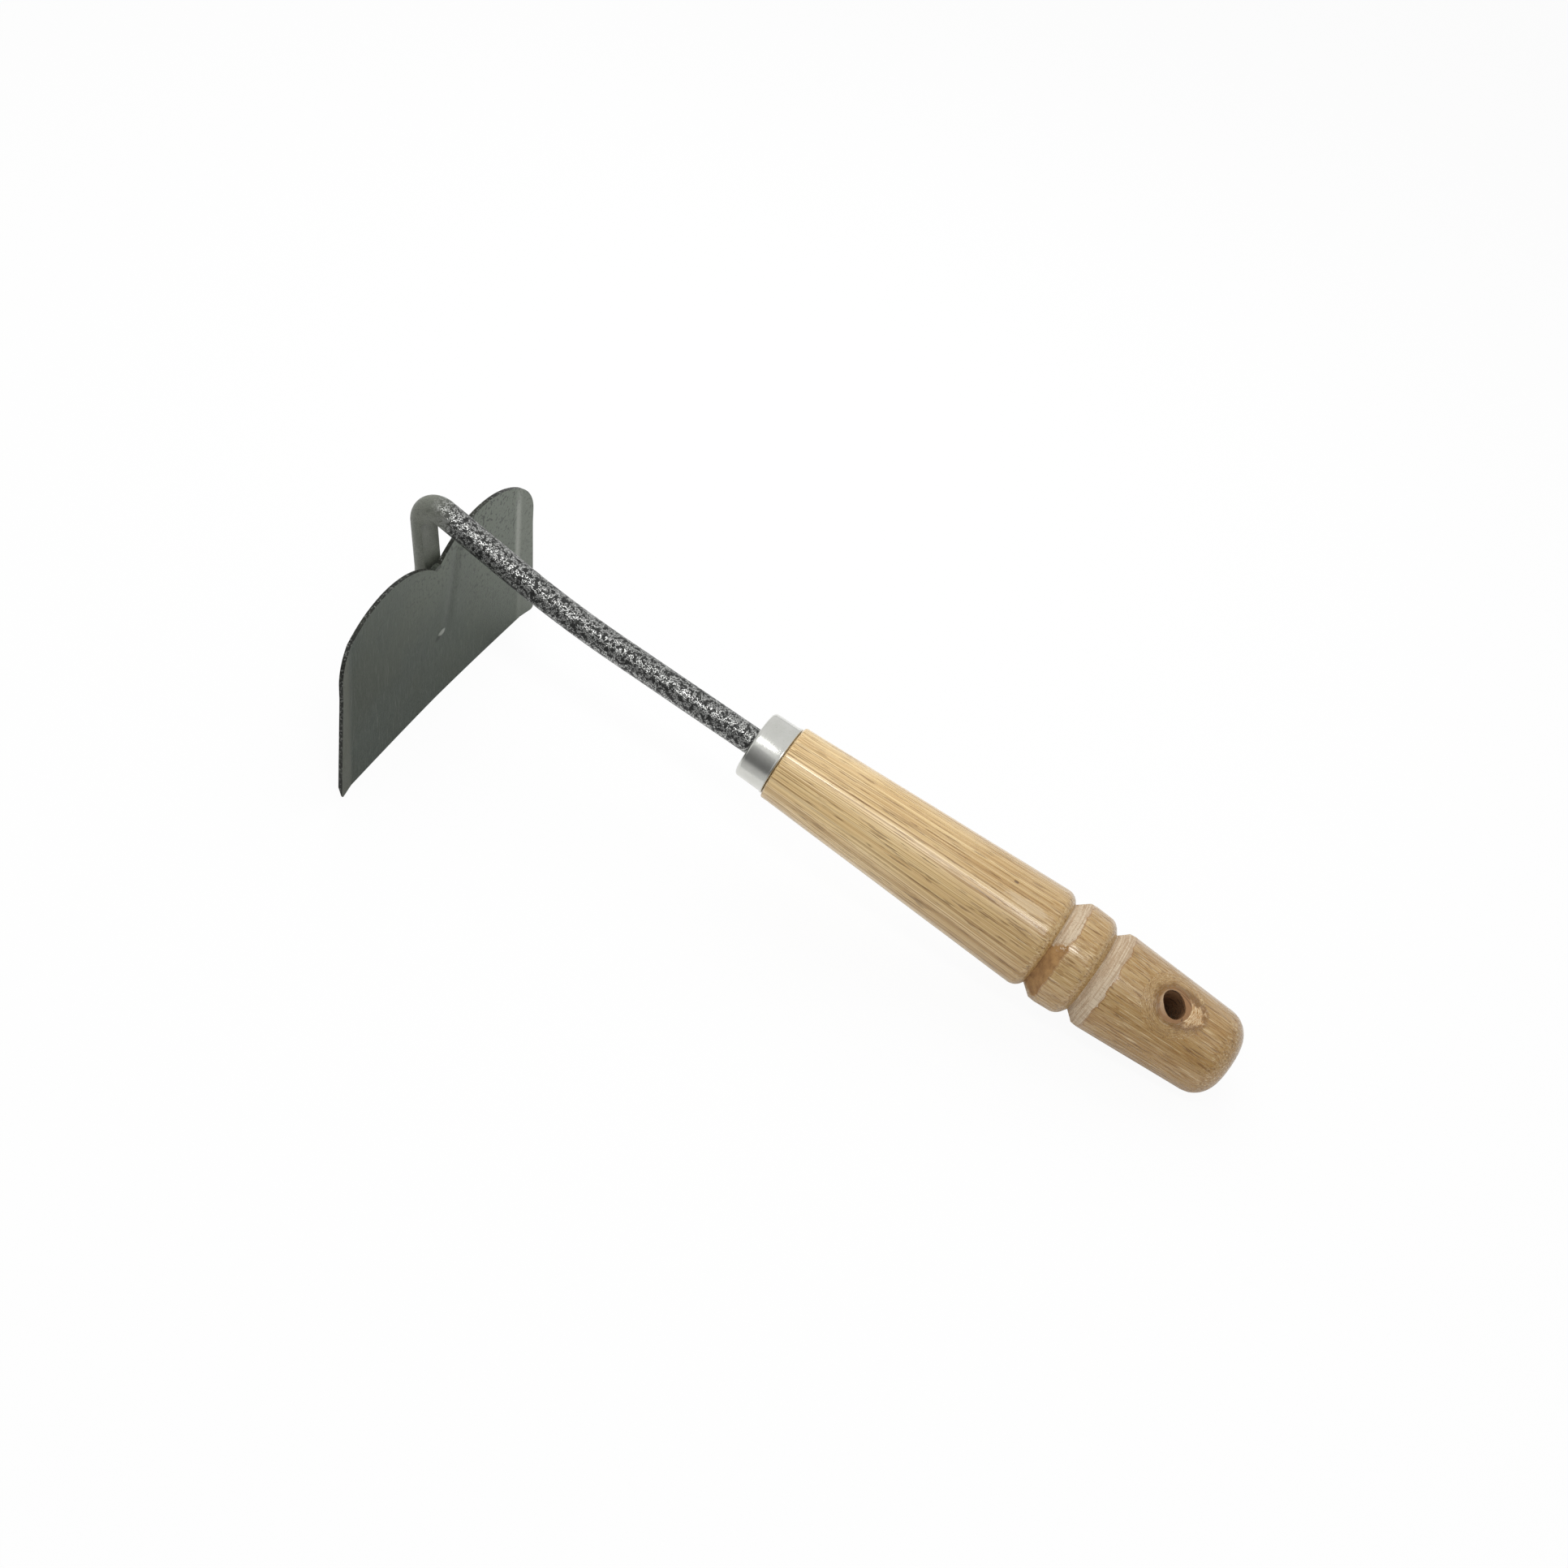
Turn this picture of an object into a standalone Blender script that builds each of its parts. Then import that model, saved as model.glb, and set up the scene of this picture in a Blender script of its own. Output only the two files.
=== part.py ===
"""A short-handled garden hoe: a pressed steel blade, a bent rod, a ferrule and a turned wooden handle.

Everything is modelled in the handle's own frame: X runs along the handle's axis from the ferrule's
front face towards the butt, Y runs across the blade and Z points up in the hoe's plane of symmetry.
The pieces hang on one empty, which turns the hoe until it stands on its cutting edge and its butt.
All sizes are in metres.
"""

from math import asin, atan2, cos, degrees, hypot, pi, radians, sin, sqrt, tan

import bmesh
import bpy
from mathutils import Vector

# Fits
CLEARANCE = 0.0003

# Handle: turned wood with two cut grooves near the butt
HANDLE_LENGTH = 0.1681
SHOULDER_RADIUS = 0.0131
SHOULDER_ROUNDING = 0.0007
SWELL_RADIUS = 0.0174
BAND_RADIUS = 0.0179
END_SECTION_RADIUS = 0.0169
BUTT_RADIUS = 0.0148
BUTT_ROUNDING = 0.0090
GROOVE_ONE_TO_BUTT = 0.0668
GROOVE_TWO_TO_BUTT = 0.0508
GROOVE_ONE_RADIUS = 0.01475
GROOVE_TWO_RADIUS = 0.0140
GROOVE_LIP_RADIUS = 0.0044
GROOVE_LIP_SLOPE = radians(52.0)
GROOVE_ONE_FLANK = 0.0038
GROOVE_TWO_FLANK = 0.0033
GROOVE_ONE_RUN_OUT = 0.0022
GROOVE_TWO_RUN_OUT = 0.0020
RUN_OUT_STEP = 0.0002
SECOND_LIP_STEP = 0.0003
HANG_HOLE_RADIUS = 0.0043
HANG_HOLE_TO_BUTT = 0.0260
HANG_HOLE_TURN = radians(-21.0)

# Ferrule: a drawn steel cup over the handle's spigot
FERRULE_LENGTH = 0.0106
FERRULE_FRONT_RADIUS = 0.0116
FERRULE_BACK_RADIUS = 0.0119
FERRULE_WALL = 0.0008
FERRULE_RIM = 0.0011

# Neck: a round rod, bent into a hook whose free end is flattened on the side towards the blade
ROD_RADIUS = 0.0045
NECK_STRAIGHT = 0.0535
NECK_BEND_RADIUS = 0.290
NECK_RISE = radians(8.0)
NECK_SLOPE = 0.0290
HOOK_RADIUS = 0.0053
STRAP_LEAN = radians(21.0)
STRAP_FREE = 0.0170
STRAP_SET_RADIUS = 0.025
STRAP_OVERLAP = 0.0285
STRAP_FLAT = 0.0016
STRAP_SPREAD = 1.08
FLAT_FROM = 0.45
TANG_LENGTH = 0.075
TANG_FULL = 0.020
TANG_TIP_RADIUS = 0.0025

# Blade: a thin pressed plate with two lobes and a notch between them
BLADE_LEAN = radians(16.0)
BLADE_THICKNESS = 0.0015
EDGE_HALF_WIDTH = 0.0593
SIDE_HALF_WIDTH = 0.0568
SIDE_HEIGHT = 0.0400
LOBE_RADIUS = 0.0420
LOBE_CENTRE_Y = 0.0275
LOBE_HEIGHT = 0.0642
TOP_CORNER_RADIUS = 0.0140
EDGE_CORNER_RADIUS = 0.0015
NOTCH_ROUNDING = 0.0010
BLADE_DISH = 0.0022
DISH_POWER = 1.5
SIDE_BAND_FROM = 0.883
SIDE_BAND_RISE = 0.0012
GRIND_HEIGHT = 0.0030
GRIND_THICKNESS = 0.0004

# Welds between the strap and the back of the blade
WELD_LEG = 0.0028
WELD_CROWN = 0.0005
SIDE_WELD_LENGTH = 0.0265
SIDE_WELD_RISE = 0.0022
END_WELD_LENGTH = 0.0070
NOTCH_WELD_HEIGHT = 0.0014

# Facets
HANDLE_FACETS = 48
ROD_FACETS = 28
BLADE_FLAT_COLUMNS = 48
BLADE_BAND_COLUMNS = 8
HOOK_STEPS = 14
HOLE_FACETS = 32

for old in list(bpy.data.objects):
    bpy.data.objects.remove(old, do_unlink=True)


def material(name, colour, roughness, metallic):
    """A Principled material with one plain finish."""
    finish = bpy.data.materials.new(name)
    finish.use_nodes = True
    shader = finish.node_tree.nodes["Principled BSDF"]
    shader.inputs["Base Color"].default_value = (*colour, 1.0)
    shader.inputs["Roughness"].default_value = roughness
    shader.inputs["Metallic"].default_value = metallic
    return finish


def add_piece(name, mesh_data, finish, frame, smooth_angle=radians(32.0)):
    """Turn a bmesh into a named object that hangs on the hoe's frame."""
    bmesh.ops.recalc_face_normals(mesh_data, faces=mesh_data.faces)
    mesh = bpy.data.meshes.new(name)
    mesh_data.to_mesh(mesh)
    mesh_data.free()
    mesh.shade_smooth()
    mesh.set_sharp_from_angle(angle=smooth_angle)
    piece = bpy.data.objects.new(name, mesh)
    bpy.context.scene.collection.objects.link(piece)
    piece.data.materials.append(finish)
    piece.parent = frame
    return piece


def arc(centre, radius, start, end, steps):
    """Points on an arc in a plane, from one angle to another, both ends included."""
    return [
        (centre[0] + radius * cos(start + (end - start) * k / steps),
         centre[1] + radius * sin(start + (end - start) * k / steps))
        for k in range(steps + 1)
    ]


def turned(profile, facets):
    """A solid turned about X from points (x, radius); a radius of zero closes on the axis."""
    mesh_data = bmesh.new()
    rings = []
    for x, radius in profile:
        if radius <= 0.0:
            rings.append([mesh_data.verts.new((x, 0.0, 0.0))])
            continue
        rings.append([
            mesh_data.verts.new((x, radius * cos(2 * pi * k / facets), radius * sin(2 * pi * k / facets)))
            for k in range(facets)
        ])
    pairs = list(zip(rings, rings[1:]))
    if len(rings[0]) > 1 and len(rings[-1]) > 1:
        pairs.append((rings[-1], rings[0]))
    for first, second in pairs:
        for k in range(facets):
            corners = [first[k % len(first)], first[(k + 1) % len(first)],
                       second[(k + 1) % len(second)], second[k % len(second)]]
            mesh_data.faces.new(list(dict.fromkeys(corners)))
    return mesh_data


def loft(rings):
    """A closed skin over rings of equally many points, with a flat cap on each end."""
    mesh_data = bmesh.new()
    loops = [[mesh_data.verts.new(point) for point in ring] for ring in rings]
    count = len(loops[0])
    for first, second in zip(loops, loops[1:]):
        for k in range(count):
            mesh_data.faces.new((first[k], first[(k + 1) % count], second[(k + 1) % count], second[k]))
    mesh_data.faces.new(loops[0][::-1])
    mesh_data.faces.new(loops[-1])
    return mesh_data


# Places that several pieces share, all in the handle's frame
SHOULDER_X = FERRULE_LENGTH + CLEARANCE
BUTT_X = SHOULDER_X + HANDLE_LENGTH


def ferrule_radius(x):
    """The ferrule's outer radius, which grows from its front to its back."""
    return FERRULE_FRONT_RADIUS + (FERRULE_BACK_RADIUS - FERRULE_FRONT_RADIUS) * x / FERRULE_LENGTH


def tang_radius(depth):
    """The tang's radius at a depth behind the ferrule's front face."""
    if depth <= TANG_FULL:
        return ROD_RADIUS
    share = (depth - TANG_FULL) / (TANG_LENGTH - TANG_FULL)
    return ROD_RADIUS + (TANG_TIP_RADIUS - ROD_RADIUS) * share


def groove(floor_x, floor_radius, lip_radius, flank, flank_radius):
    """One groove: a rounded lip and a steep cut down to the floor, then a straight flank up again."""
    turn_drop = GROOVE_LIP_RADIUS * (1 - cos(GROOVE_LIP_SLOPE))
    cut_run = (lip_radius - turn_drop - floor_radius) / tan(GROOVE_LIP_SLOPE)
    turn_start = floor_x - cut_run - GROOVE_LIP_RADIUS * sin(GROOVE_LIP_SLOPE)
    lip = arc((turn_start, lip_radius - GROOVE_LIP_RADIUS), GROOVE_LIP_RADIUS,
              pi / 2, pi / 2 - GROOVE_LIP_SLOPE, 6)
    return [*lip, (floor_x, floor_radius), (floor_x + flank, flank_radius)]


def make_handle(frame, finish):
    """Turned wood: spigot, shoulder, swelling grip, two grooves and a round butt, bored for the tang."""
    spigot_front = FERRULE_WALL + CLEARANCE
    spigot_wall = FERRULE_WALL + CLEARANCE
    bore_end = TANG_LENGTH + CLEARANCE
    groove_one = BUTT_X - GROOVE_ONE_TO_BUTT
    groove_two = BUTT_X - GROOVE_TWO_TO_BUTT
    shoulder = arc((SHOULDER_X + SHOULDER_ROUNDING, SHOULDER_RADIUS - SHOULDER_ROUNDING),
                   SHOULDER_ROUNDING, pi, pi / 2, 3)
    butt_corner = (BUTT_X - BUTT_ROUNDING, BUTT_RADIUS - BUTT_ROUNDING)
    profile = [
        (bore_end, 0.0),
        (bore_end, TANG_TIP_RADIUS + CLEARANCE),
        (TANG_FULL, ROD_RADIUS + CLEARANCE),
        (spigot_front, ROD_RADIUS + CLEARANCE),
        (spigot_front, ferrule_radius(spigot_front) - spigot_wall),
        (SHOULDER_X, ferrule_radius(FERRULE_LENGTH) - spigot_wall),
        *shoulder,
        *groove(groove_one, GROOVE_ONE_RADIUS, SWELL_RADIUS, GROOVE_ONE_FLANK, BAND_RADIUS - RUN_OUT_STEP),
        (groove_one + GROOVE_ONE_FLANK + GROOVE_ONE_RUN_OUT, BAND_RADIUS),
        *groove(groove_two, GROOVE_TWO_RADIUS, BAND_RADIUS - SECOND_LIP_STEP, GROOVE_TWO_FLANK,
                END_SECTION_RADIUS - RUN_OUT_STEP),
        (groove_two + GROOVE_TWO_FLANK + GROOVE_TWO_RUN_OUT, END_SECTION_RADIUS),
        *arc(butt_corner, BUTT_ROUNDING, pi / 2, 0.0, 8),
        (BUTT_X, 0.0),
    ]
    handle = add_piece("handle", turned(profile, HANDLE_FACETS), finish, frame)

    hole = bmesh.new()
    bmesh.ops.create_cone(hole, cap_ends=True, segments=HOLE_FACETS, radius1=HANG_HOLE_RADIUS,
                          radius2=HANG_HOLE_RADIUS, depth=4 * BAND_RADIUS)
    cutter = add_piece("hang_hole_cutter", hole, finish, frame)
    cutter.location = (BUTT_X - HANG_HOLE_TO_BUTT, 0.0, 0.0)
    cutter.rotation_euler = (-HANG_HOLE_TURN, 0.0, 0.0)
    cutter.hide_render = True
    cutter.display_type = "WIRE"
    cut = handle.modifiers.new("hang_hole", "BOOLEAN")
    cut.operation = "DIFFERENCE"
    cut.solver = "EXACT"
    cut.object = cutter
    return handle


def make_ferrule(frame, finish):
    """A drawn cup with a rounded rim, open at the back, with a hole for the rod in its front."""
    hole_radius = ROD_RADIUS + CLEARANCE
    rim = arc((FERRULE_RIM, FERRULE_FRONT_RADIUS - FERRULE_RIM), FERRULE_RIM, pi, pi / 2, 5)
    profile = [
        (FERRULE_WALL, hole_radius),
        (0.0, hole_radius),
        *rim,
        (FERRULE_LENGTH, ferrule_radius(FERRULE_LENGTH)),
        (FERRULE_LENGTH, ferrule_radius(FERRULE_LENGTH) - FERRULE_WALL),
        (FERRULE_WALL, ferrule_radius(FERRULE_WALL) - FERRULE_WALL),
    ]
    return add_piece("ferrule", turned(profile, HANDLE_FACETS), finish, frame)


class NeckPath:
    """The rod's centreline outside the handle, in the plane of symmetry, walked from the ferrule.

    Each station holds the place (x, z), the heading and how far the section has gone from round, 0,
    to flattened, 1.
    """

    def __init__(self):
        self.place = Vector((0.0, 0.0))
        self.heading = 0.0
        self.stations = [(self.place, self.heading, 0.0)]

    def outwards(self):
        return Vector((sin(self.heading), cos(self.heading)))

    def run(self, length, flatness):
        """Straight on."""
        self.place = self.place + Vector((-cos(self.heading), sin(self.heading))) * length
        self.stations.append((self.place, self.heading, flatness))

    def bend(self, radius, angle, steps, flatness):
        """An arc that turns upwards for a positive angle and downwards for a negative one."""
        side = radius if angle > 0 else -radius
        centre = self.place + self.outwards() * side
        for k in range(1, steps + 1):
            self.heading += angle / steps
            self.place = centre - self.outwards() * side
            self.stations.append((self.place, self.heading, flatness(k / steps)))


def hook_flatness(share):
    """The flat begins part of the way round the hook and is full at its end."""
    along = max(share - FLAT_FROM, 0.0) / (1.0 - FLAT_FROM)
    return along * along * (3.0 - 2.0 * along)


def walk_neck():
    path = NeckPath()
    path.run(NECK_STRAIGHT, 0.0)
    path.bend(NECK_BEND_RADIUS, NECK_RISE, 6, lambda share: 0.0)
    path.run(NECK_SLOPE, 0.0)
    path.bend(HOOK_RADIUS, -(NECK_RISE + pi / 2 + STRAP_LEAN), HOOK_STEPS, hook_flatness)
    path.run(STRAP_FREE, 1.0)
    path.bend(STRAP_SET_RADIUS, STRAP_LEAN - BLADE_LEAN, 2, lambda share: 1.0)
    path.run(STRAP_OVERLAP, 1.0)
    return path


NECK = walk_neck()
BLADE_UP = Vector((-sin(BLADE_LEAN), 0.0, cos(BLADE_LEAN)))
BLADE_ACROSS = Vector((0.0, 1.0, 0.0))
BLADE_FRONT = BLADE_ACROSS.cross(BLADE_UP)


def rod_section(flatness):
    """A circle with one flat side, as points (across, outwards); the last side closes along the flat."""
    round_flat = ROD_RADIUS * cos(pi / ROD_FACETS)
    flat = round_flat + (STRAP_FLAT - round_flat) * flatness
    dip = asin(flat / ROD_RADIUS)
    spread = 1.0 + (STRAP_SPREAD - 1.0) * flatness
    rim = arc((0.0, 0.0), ROD_RADIUS, -dip, pi + dip, ROD_FACETS - 1)
    return [(across * spread, out) for across, out in rim]


def neck_ring(place, heading, flatness):
    """One ring of the neck, square to the centreline."""
    outwards = Vector((sin(heading), 0.0, cos(heading)))
    centre = Vector((place.x, 0.0, place.y))
    return [centre + BLADE_ACROSS * across + outwards * out for across, out in rod_section(flatness)]


def make_neck(frame, finish):
    """One piece of rod: a tapered tang, the round rod, the hook and the flattened strap."""
    tang = [
        [Vector((depth, across * share, out * share)) for across, out in rod_section(0.0)]
        for depth, share in ((TANG_LENGTH, TANG_TIP_RADIUS / ROD_RADIUS), (TANG_FULL, 1.0))
    ]
    outside = [neck_ring(*station) for station in NECK.stations]
    return add_piece("neck_rod", loft(tang + outside), finish, frame)


# The blade's own frame: across (y) and up (h) from the middle of the cutting edge
STRAP_INNER = Vector((NECK.place.x, 0.0, NECK.place.y)) + BLADE_FRONT * STRAP_FLAT
LOBE_CENTRE_H = LOBE_HEIGHT - LOBE_RADIUS


def lobe_height(y):
    """The lobe's own circle, before its outer corner is rounded."""
    return LOBE_CENTRE_H + sqrt(max(LOBE_RADIUS ** 2 - (abs(y) - LOBE_CENTRE_Y) ** 2, 0.0))


NOTCH_HEIGHT = lobe_height(0.0)
STRAP_END_H = NOTCH_HEIGHT - STRAP_OVERLAP
BLADE_ORIGIN = (STRAP_INNER - BLADE_UP * STRAP_END_H
                + BLADE_FRONT * (CLEARANCE + BLADE_THICKNESS + BLADE_DISH))


def half_width(h):
    """The blade's half width, which narrows evenly from the cutting edge to the corners."""
    share = min(h / SIDE_HEIGHT, 1.0)
    return EDGE_HALF_WIDTH + (SIDE_HALF_WIDTH - EDGE_HALF_WIDTH) * share


def dish(y, h):
    """How far the plate lies behind its side edges: a shallow dish between two bands bent forward."""
    share = min(abs(y) / half_width(h), 1.0)
    if share > SIDE_BAND_FROM:
        return SIDE_BAND_RISE * (1.0 - share) / (1.0 - SIDE_BAND_FROM)
    return SIDE_BAND_RISE + (BLADE_DISH - SIDE_BAND_RISE) * (1.0 - (share / SIDE_BAND_FROM) ** DISH_POWER)


def on_blade(y, h, behind):
    """A point of the blade in the handle's frame, a given depth behind its front face."""
    return BLADE_ORIGIN + BLADE_ACROSS * y + BLADE_UP * h - BLADE_FRONT * (dish(y, h) + behind)


def top_height(y):
    """The upper outline: a small round in the notch, the lobe, and a round outer corner."""
    y = abs(y)
    slope_angle = asin(LOBE_CENTRE_Y / LOBE_RADIUS)
    if y < NOTCH_ROUNDING * sin(slope_angle):
        base = lobe_height(NOTCH_ROUNDING * sin(slope_angle)) - NOTCH_ROUNDING * cos(slope_angle)
        return base + 2 * NOTCH_ROUNDING * cos(slope_angle) - sqrt(NOTCH_ROUNDING ** 2 - y ** 2)
    corner_y = SIDE_HALF_WIDTH - TOP_CORNER_RADIUS
    reach = LOBE_RADIUS - TOP_CORNER_RADIUS
    corner_h = LOBE_CENTRE_H + sqrt(reach ** 2 - (corner_y - LOBE_CENTRE_Y) ** 2)
    join_y = LOBE_CENTRE_Y + (corner_y - LOBE_CENTRE_Y) * LOBE_RADIUS / reach
    if y <= join_y:
        return lobe_height(y)
    return corner_h + sqrt(max(TOP_CORNER_RADIUS ** 2 - (min(y, SIDE_HALF_WIDTH) - corner_y) ** 2, 0.0))


def column_shares():
    """Where the columns stand, from side to side: one runs along each crease, close ones in the bands."""
    flat = [SIDE_BAND_FROM * (2 * k / BLADE_FLAT_COLUMNS - 1) for k in range(BLADE_FLAT_COLUMNS + 1)]
    band = [SIDE_BAND_FROM + (1.0 - SIDE_BAND_FROM) * sin(pi / 2 * k / BLADE_BAND_COLUMNS)
            for k in range(1, BLADE_BAND_COLUMNS + 1)]
    return [-share for share in reversed(band)] + flat + band


def make_blade(frame, finish, ground_angle):
    """The plate as columns of points from the cutting edge to the upper outline, front and back."""
    ground = Vector((-sin(ground_angle), 0.0, cos(ground_angle)))
    trim_share = ground.dot(BLADE_FRONT) / ground.dot(BLADE_UP)
    fronts, backs = [], []
    for share in column_shares():
        top = top_height(share * SIDE_HALF_WIDTH)
        edge_y = share * EDGE_HALF_WIDTH
        over = max(abs(edge_y) - (EDGE_HALF_WIDTH - EDGE_CORNER_RADIUS), 0.0)
        bottom = EDGE_CORNER_RADIUS - sqrt(max(EDGE_CORNER_RADIUS ** 2 - over ** 2, 0.0))
        bottom += dish(edge_y, 0.0) * trim_share
        heights = (bottom, bottom + GRIND_HEIGHT, SIDE_HEIGHT * 0.5, top)
        behind = (GRIND_THICKNESS, BLADE_THICKNESS, BLADE_THICKNESS, BLADE_THICKNESS)
        fronts.append([on_blade(share * half_width(h), h, 0.0) for h in heights])
        backs.append([on_blade(share * half_width(h), h, b) for h, b in zip(heights, behind)])

    mesh_data = bmesh.new()
    front = [[mesh_data.verts.new(p) for p in column] for column in fronts]
    back = [[mesh_data.verts.new(p) for p in column] for column in backs]
    last = len(front[0]) - 1
    for k in range(len(front) - 1):
        for j in range(last):
            mesh_data.faces.new((front[k][j], front[k + 1][j], front[k + 1][j + 1], front[k][j + 1]))
            mesh_data.faces.new((back[k][j + 1], back[k + 1][j + 1], back[k + 1][j], back[k][j]))
        mesh_data.faces.new((front[k][last], front[k + 1][last], back[k + 1][last], back[k][last]))
        mesh_data.faces.new((back[k][0], back[k + 1][0], front[k + 1][0], front[k][0]))
    for k in (0, -1):
        for j in range(last):
            mesh_data.faces.new((front[k][j], front[k][j + 1], back[k][j + 1], back[k][j]))
    return add_piece("blade", mesh_data, finish, frame)


def bead_size(share):
    """A bead is full in its middle and tapers at both ends."""
    return 0.55 + 0.45 * sin(pi * min(max(share, 0.08), 0.92)) ** 0.4


def crowned(start, end, steps):
    """A line from start to end that bulges to its left, both ends included."""
    along = Vector(end) - Vector(start)
    left = Vector((-along.y, along.x)).normalized()
    return [Vector(start) + along * k / steps + left * WELD_CROWN * sin(pi * k / steps)
            for k in range(steps + 1)]


def make_side_weld(name, side, frame, finish):
    """A fillet bead along one edge of the strap, lying on the back of the blade."""
    reach = ROD_RADIUS + CLEARANCE
    spread = (ROD_RADIUS * STRAP_SPREAD + CLEARANCE) / reach
    rings = []
    for k in range(9):
        share = k / 8
        leg = WELD_LEG * bead_size(share)
        low, high = asin(-STRAP_FLAT / reach), asin((leg - STRAP_FLAT) / reach)
        beside_rod = [(y * spread, out) for y, out in arc((0.0, STRAP_FLAT), reach, low, high, 4)]
        foot = (beside_rod[0][0] + leg, 0.0)
        section = beside_rod + [tuple(p) for p in crowned(beside_rod[-1], foot, 5)[1:]]
        h = STRAP_END_H + SIDE_WELD_RISE + SIDE_WELD_LENGTH * share
        rings.append([on_blade(side * y, h, BLADE_THICKNESS + CLEARANCE + out) for y, out in section])
    return add_piece(name, loft(rings), finish, frame)


def make_end_weld(frame, finish):
    """A bead across the strap's lower end."""
    rings = []
    for k in range(9):
        share = k / 8
        leg = WELD_LEG * bead_size(share)
        section = [(0.0, 0.0), *[tuple(p) for p in crowned((0.0, leg), (leg, 0.0), 5)]]
        y = (share - 0.5) * END_WELD_LENGTH
        rings.append([
            on_blade(y, STRAP_END_H - CLEARANCE - down, BLADE_THICKNESS + CLEARANCE + out)
            for down, out in section
        ])
    return add_piece("weld_end", loft(rings), finish, frame)


def make_notch_weld(frame, finish):
    """A small bead that fills the bottom of the notch, in front of the strap."""
    gap = CLEARANCE * LOBE_RADIUS / sqrt(LOBE_RADIUS ** 2 - LOBE_CENTRE_Y ** 2)
    crest = top_height(0.0) + gap + NOTCH_WELD_HEIGHT
    half = 0.0
    while top_height(half) + gap < crest - 0.0001:
        half += 0.0001
    outline = [(half * (k / 4 - 1), top_height(half * (k / 4 - 1)) + gap) for k in range(9)]
    outline += [(half * 0.5, crest + WELD_CROWN / 2), (-half * 0.5, crest + WELD_CROWN / 2)]
    rings = [[on_blade(y, h, behind) for y, h in outline] for behind in (0.0, BLADE_THICKNESS)]
    return add_piece("weld_notch", loft(rings), finish, frame)


def resting_angle():
    """The turn that brings the cutting edge and the butt's round corner to one level."""
    edge = BLADE_ORIGIN
    corner = Vector((BUTT_X - BUTT_ROUNDING, 0.0, -(BUTT_RADIUS - BUTT_ROUNDING)))
    dx, dz = corner.x - edge.x, corner.z - edge.z
    return atan2(dz, dx) - asin(BUTT_ROUNDING / hypot(dx, dz))


def stand_on_ground(frame, pieces):
    """Turn the frame to the resting pose and put the middle of the hoe's box over the origin."""
    frame.rotation_euler = (0.0, resting_angle(), 0.0)
    bpy.context.view_layer.update()
    depsgraph = bpy.context.evaluated_depsgraph_get()
    corners = []
    for piece in pieces:
        shape = piece.evaluated_get(depsgraph)
        corners += [shape.matrix_world @ vertex.co for vertex in shape.data.vertices]
    low = [min(c[k] for c in corners) for k in range(3)]
    high = [max(c[k] for c in corners) for k in range(3)]
    frame.location = (-(low[0] + high[0]) / 2, -(low[1] + high[1]) / 2, -low[2])


hoe_frame = bpy.data.objects.new("hoe_frame", None)
bpy.context.scene.collection.objects.link(hoe_frame)

hammered_paint = material("hammered_paint", (0.09, 0.10, 0.09), 0.45, 0.6)
blade_paint = material("blade_paint", (0.10, 0.11, 0.10), 0.5, 0.5)
bright_steel = material("bright_steel", (0.62, 0.62, 0.60), 0.18, 1.0)
varnished_wood = material("varnished_wood", (0.52, 0.27, 0.08), 0.3, 0.0)

pieces = [
    make_blade(hoe_frame, blade_paint, resting_angle()),
    make_neck(hoe_frame, hammered_paint),
    make_side_weld("weld_left", 1, hoe_frame, blade_paint),
    make_side_weld("weld_right", -1, hoe_frame, blade_paint),
    make_end_weld(hoe_frame, blade_paint),
    make_notch_weld(hoe_frame, blade_paint),
    make_ferrule(hoe_frame, bright_steel),
    make_handle(hoe_frame, varnished_wood),
]
stand_on_ground(hoe_frame, pieces)
print("resting angle", round(degrees(resting_angle()), 2), "degrees")
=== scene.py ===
# %% [markdown]
# # A short-handled garden hoe
#
# A pressed steel blade with two round lobes is welded to the hooked end of a round rod. The rod's other
# end sits in a turned wooden handle, behind a bright ferrule. The shapes and sizes are already settled in
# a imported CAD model. This lesson loads that model as a fixed frame, builds a finer skin for each piece
# around it, and gives every surface a finish made of shader nodes.

# %% Load the fixed model
from math import asin, cos, exp, pi, radians, sin, sqrt, tan

import bmesh
import bpy
from mathutils import Matrix, Quaternion, Vector, noise


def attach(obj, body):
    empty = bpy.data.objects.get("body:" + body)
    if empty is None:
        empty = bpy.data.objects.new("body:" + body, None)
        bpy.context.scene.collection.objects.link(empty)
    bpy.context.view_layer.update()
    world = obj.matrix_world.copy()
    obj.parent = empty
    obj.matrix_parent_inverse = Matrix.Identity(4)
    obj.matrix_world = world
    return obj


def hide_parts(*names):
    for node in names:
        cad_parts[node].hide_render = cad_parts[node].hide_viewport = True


MM = 0.001
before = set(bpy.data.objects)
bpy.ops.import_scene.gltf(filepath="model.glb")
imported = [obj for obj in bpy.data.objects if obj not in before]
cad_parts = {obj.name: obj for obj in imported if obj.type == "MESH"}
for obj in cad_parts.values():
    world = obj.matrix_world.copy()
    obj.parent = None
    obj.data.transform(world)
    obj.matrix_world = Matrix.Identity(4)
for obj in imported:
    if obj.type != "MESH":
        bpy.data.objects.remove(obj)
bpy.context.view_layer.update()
print("CAD pieces:", ", ".join(sorted(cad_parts)))

# %% [markdown]
# ## The handle's own frame
#
# The hoe rests on its cutting edge and on the butt of its handle, so the handle slopes a little. A turned handle
# is much easier to build along a straight axis. All pieces are therefore built in the handle's own frame, where
# X runs from the ferrule's front face to the butt, and one matrix carries their points to the world. The
# finishes need the way back, so that grain runs along the handle: a Mapping node undoes that same matrix.

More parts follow.
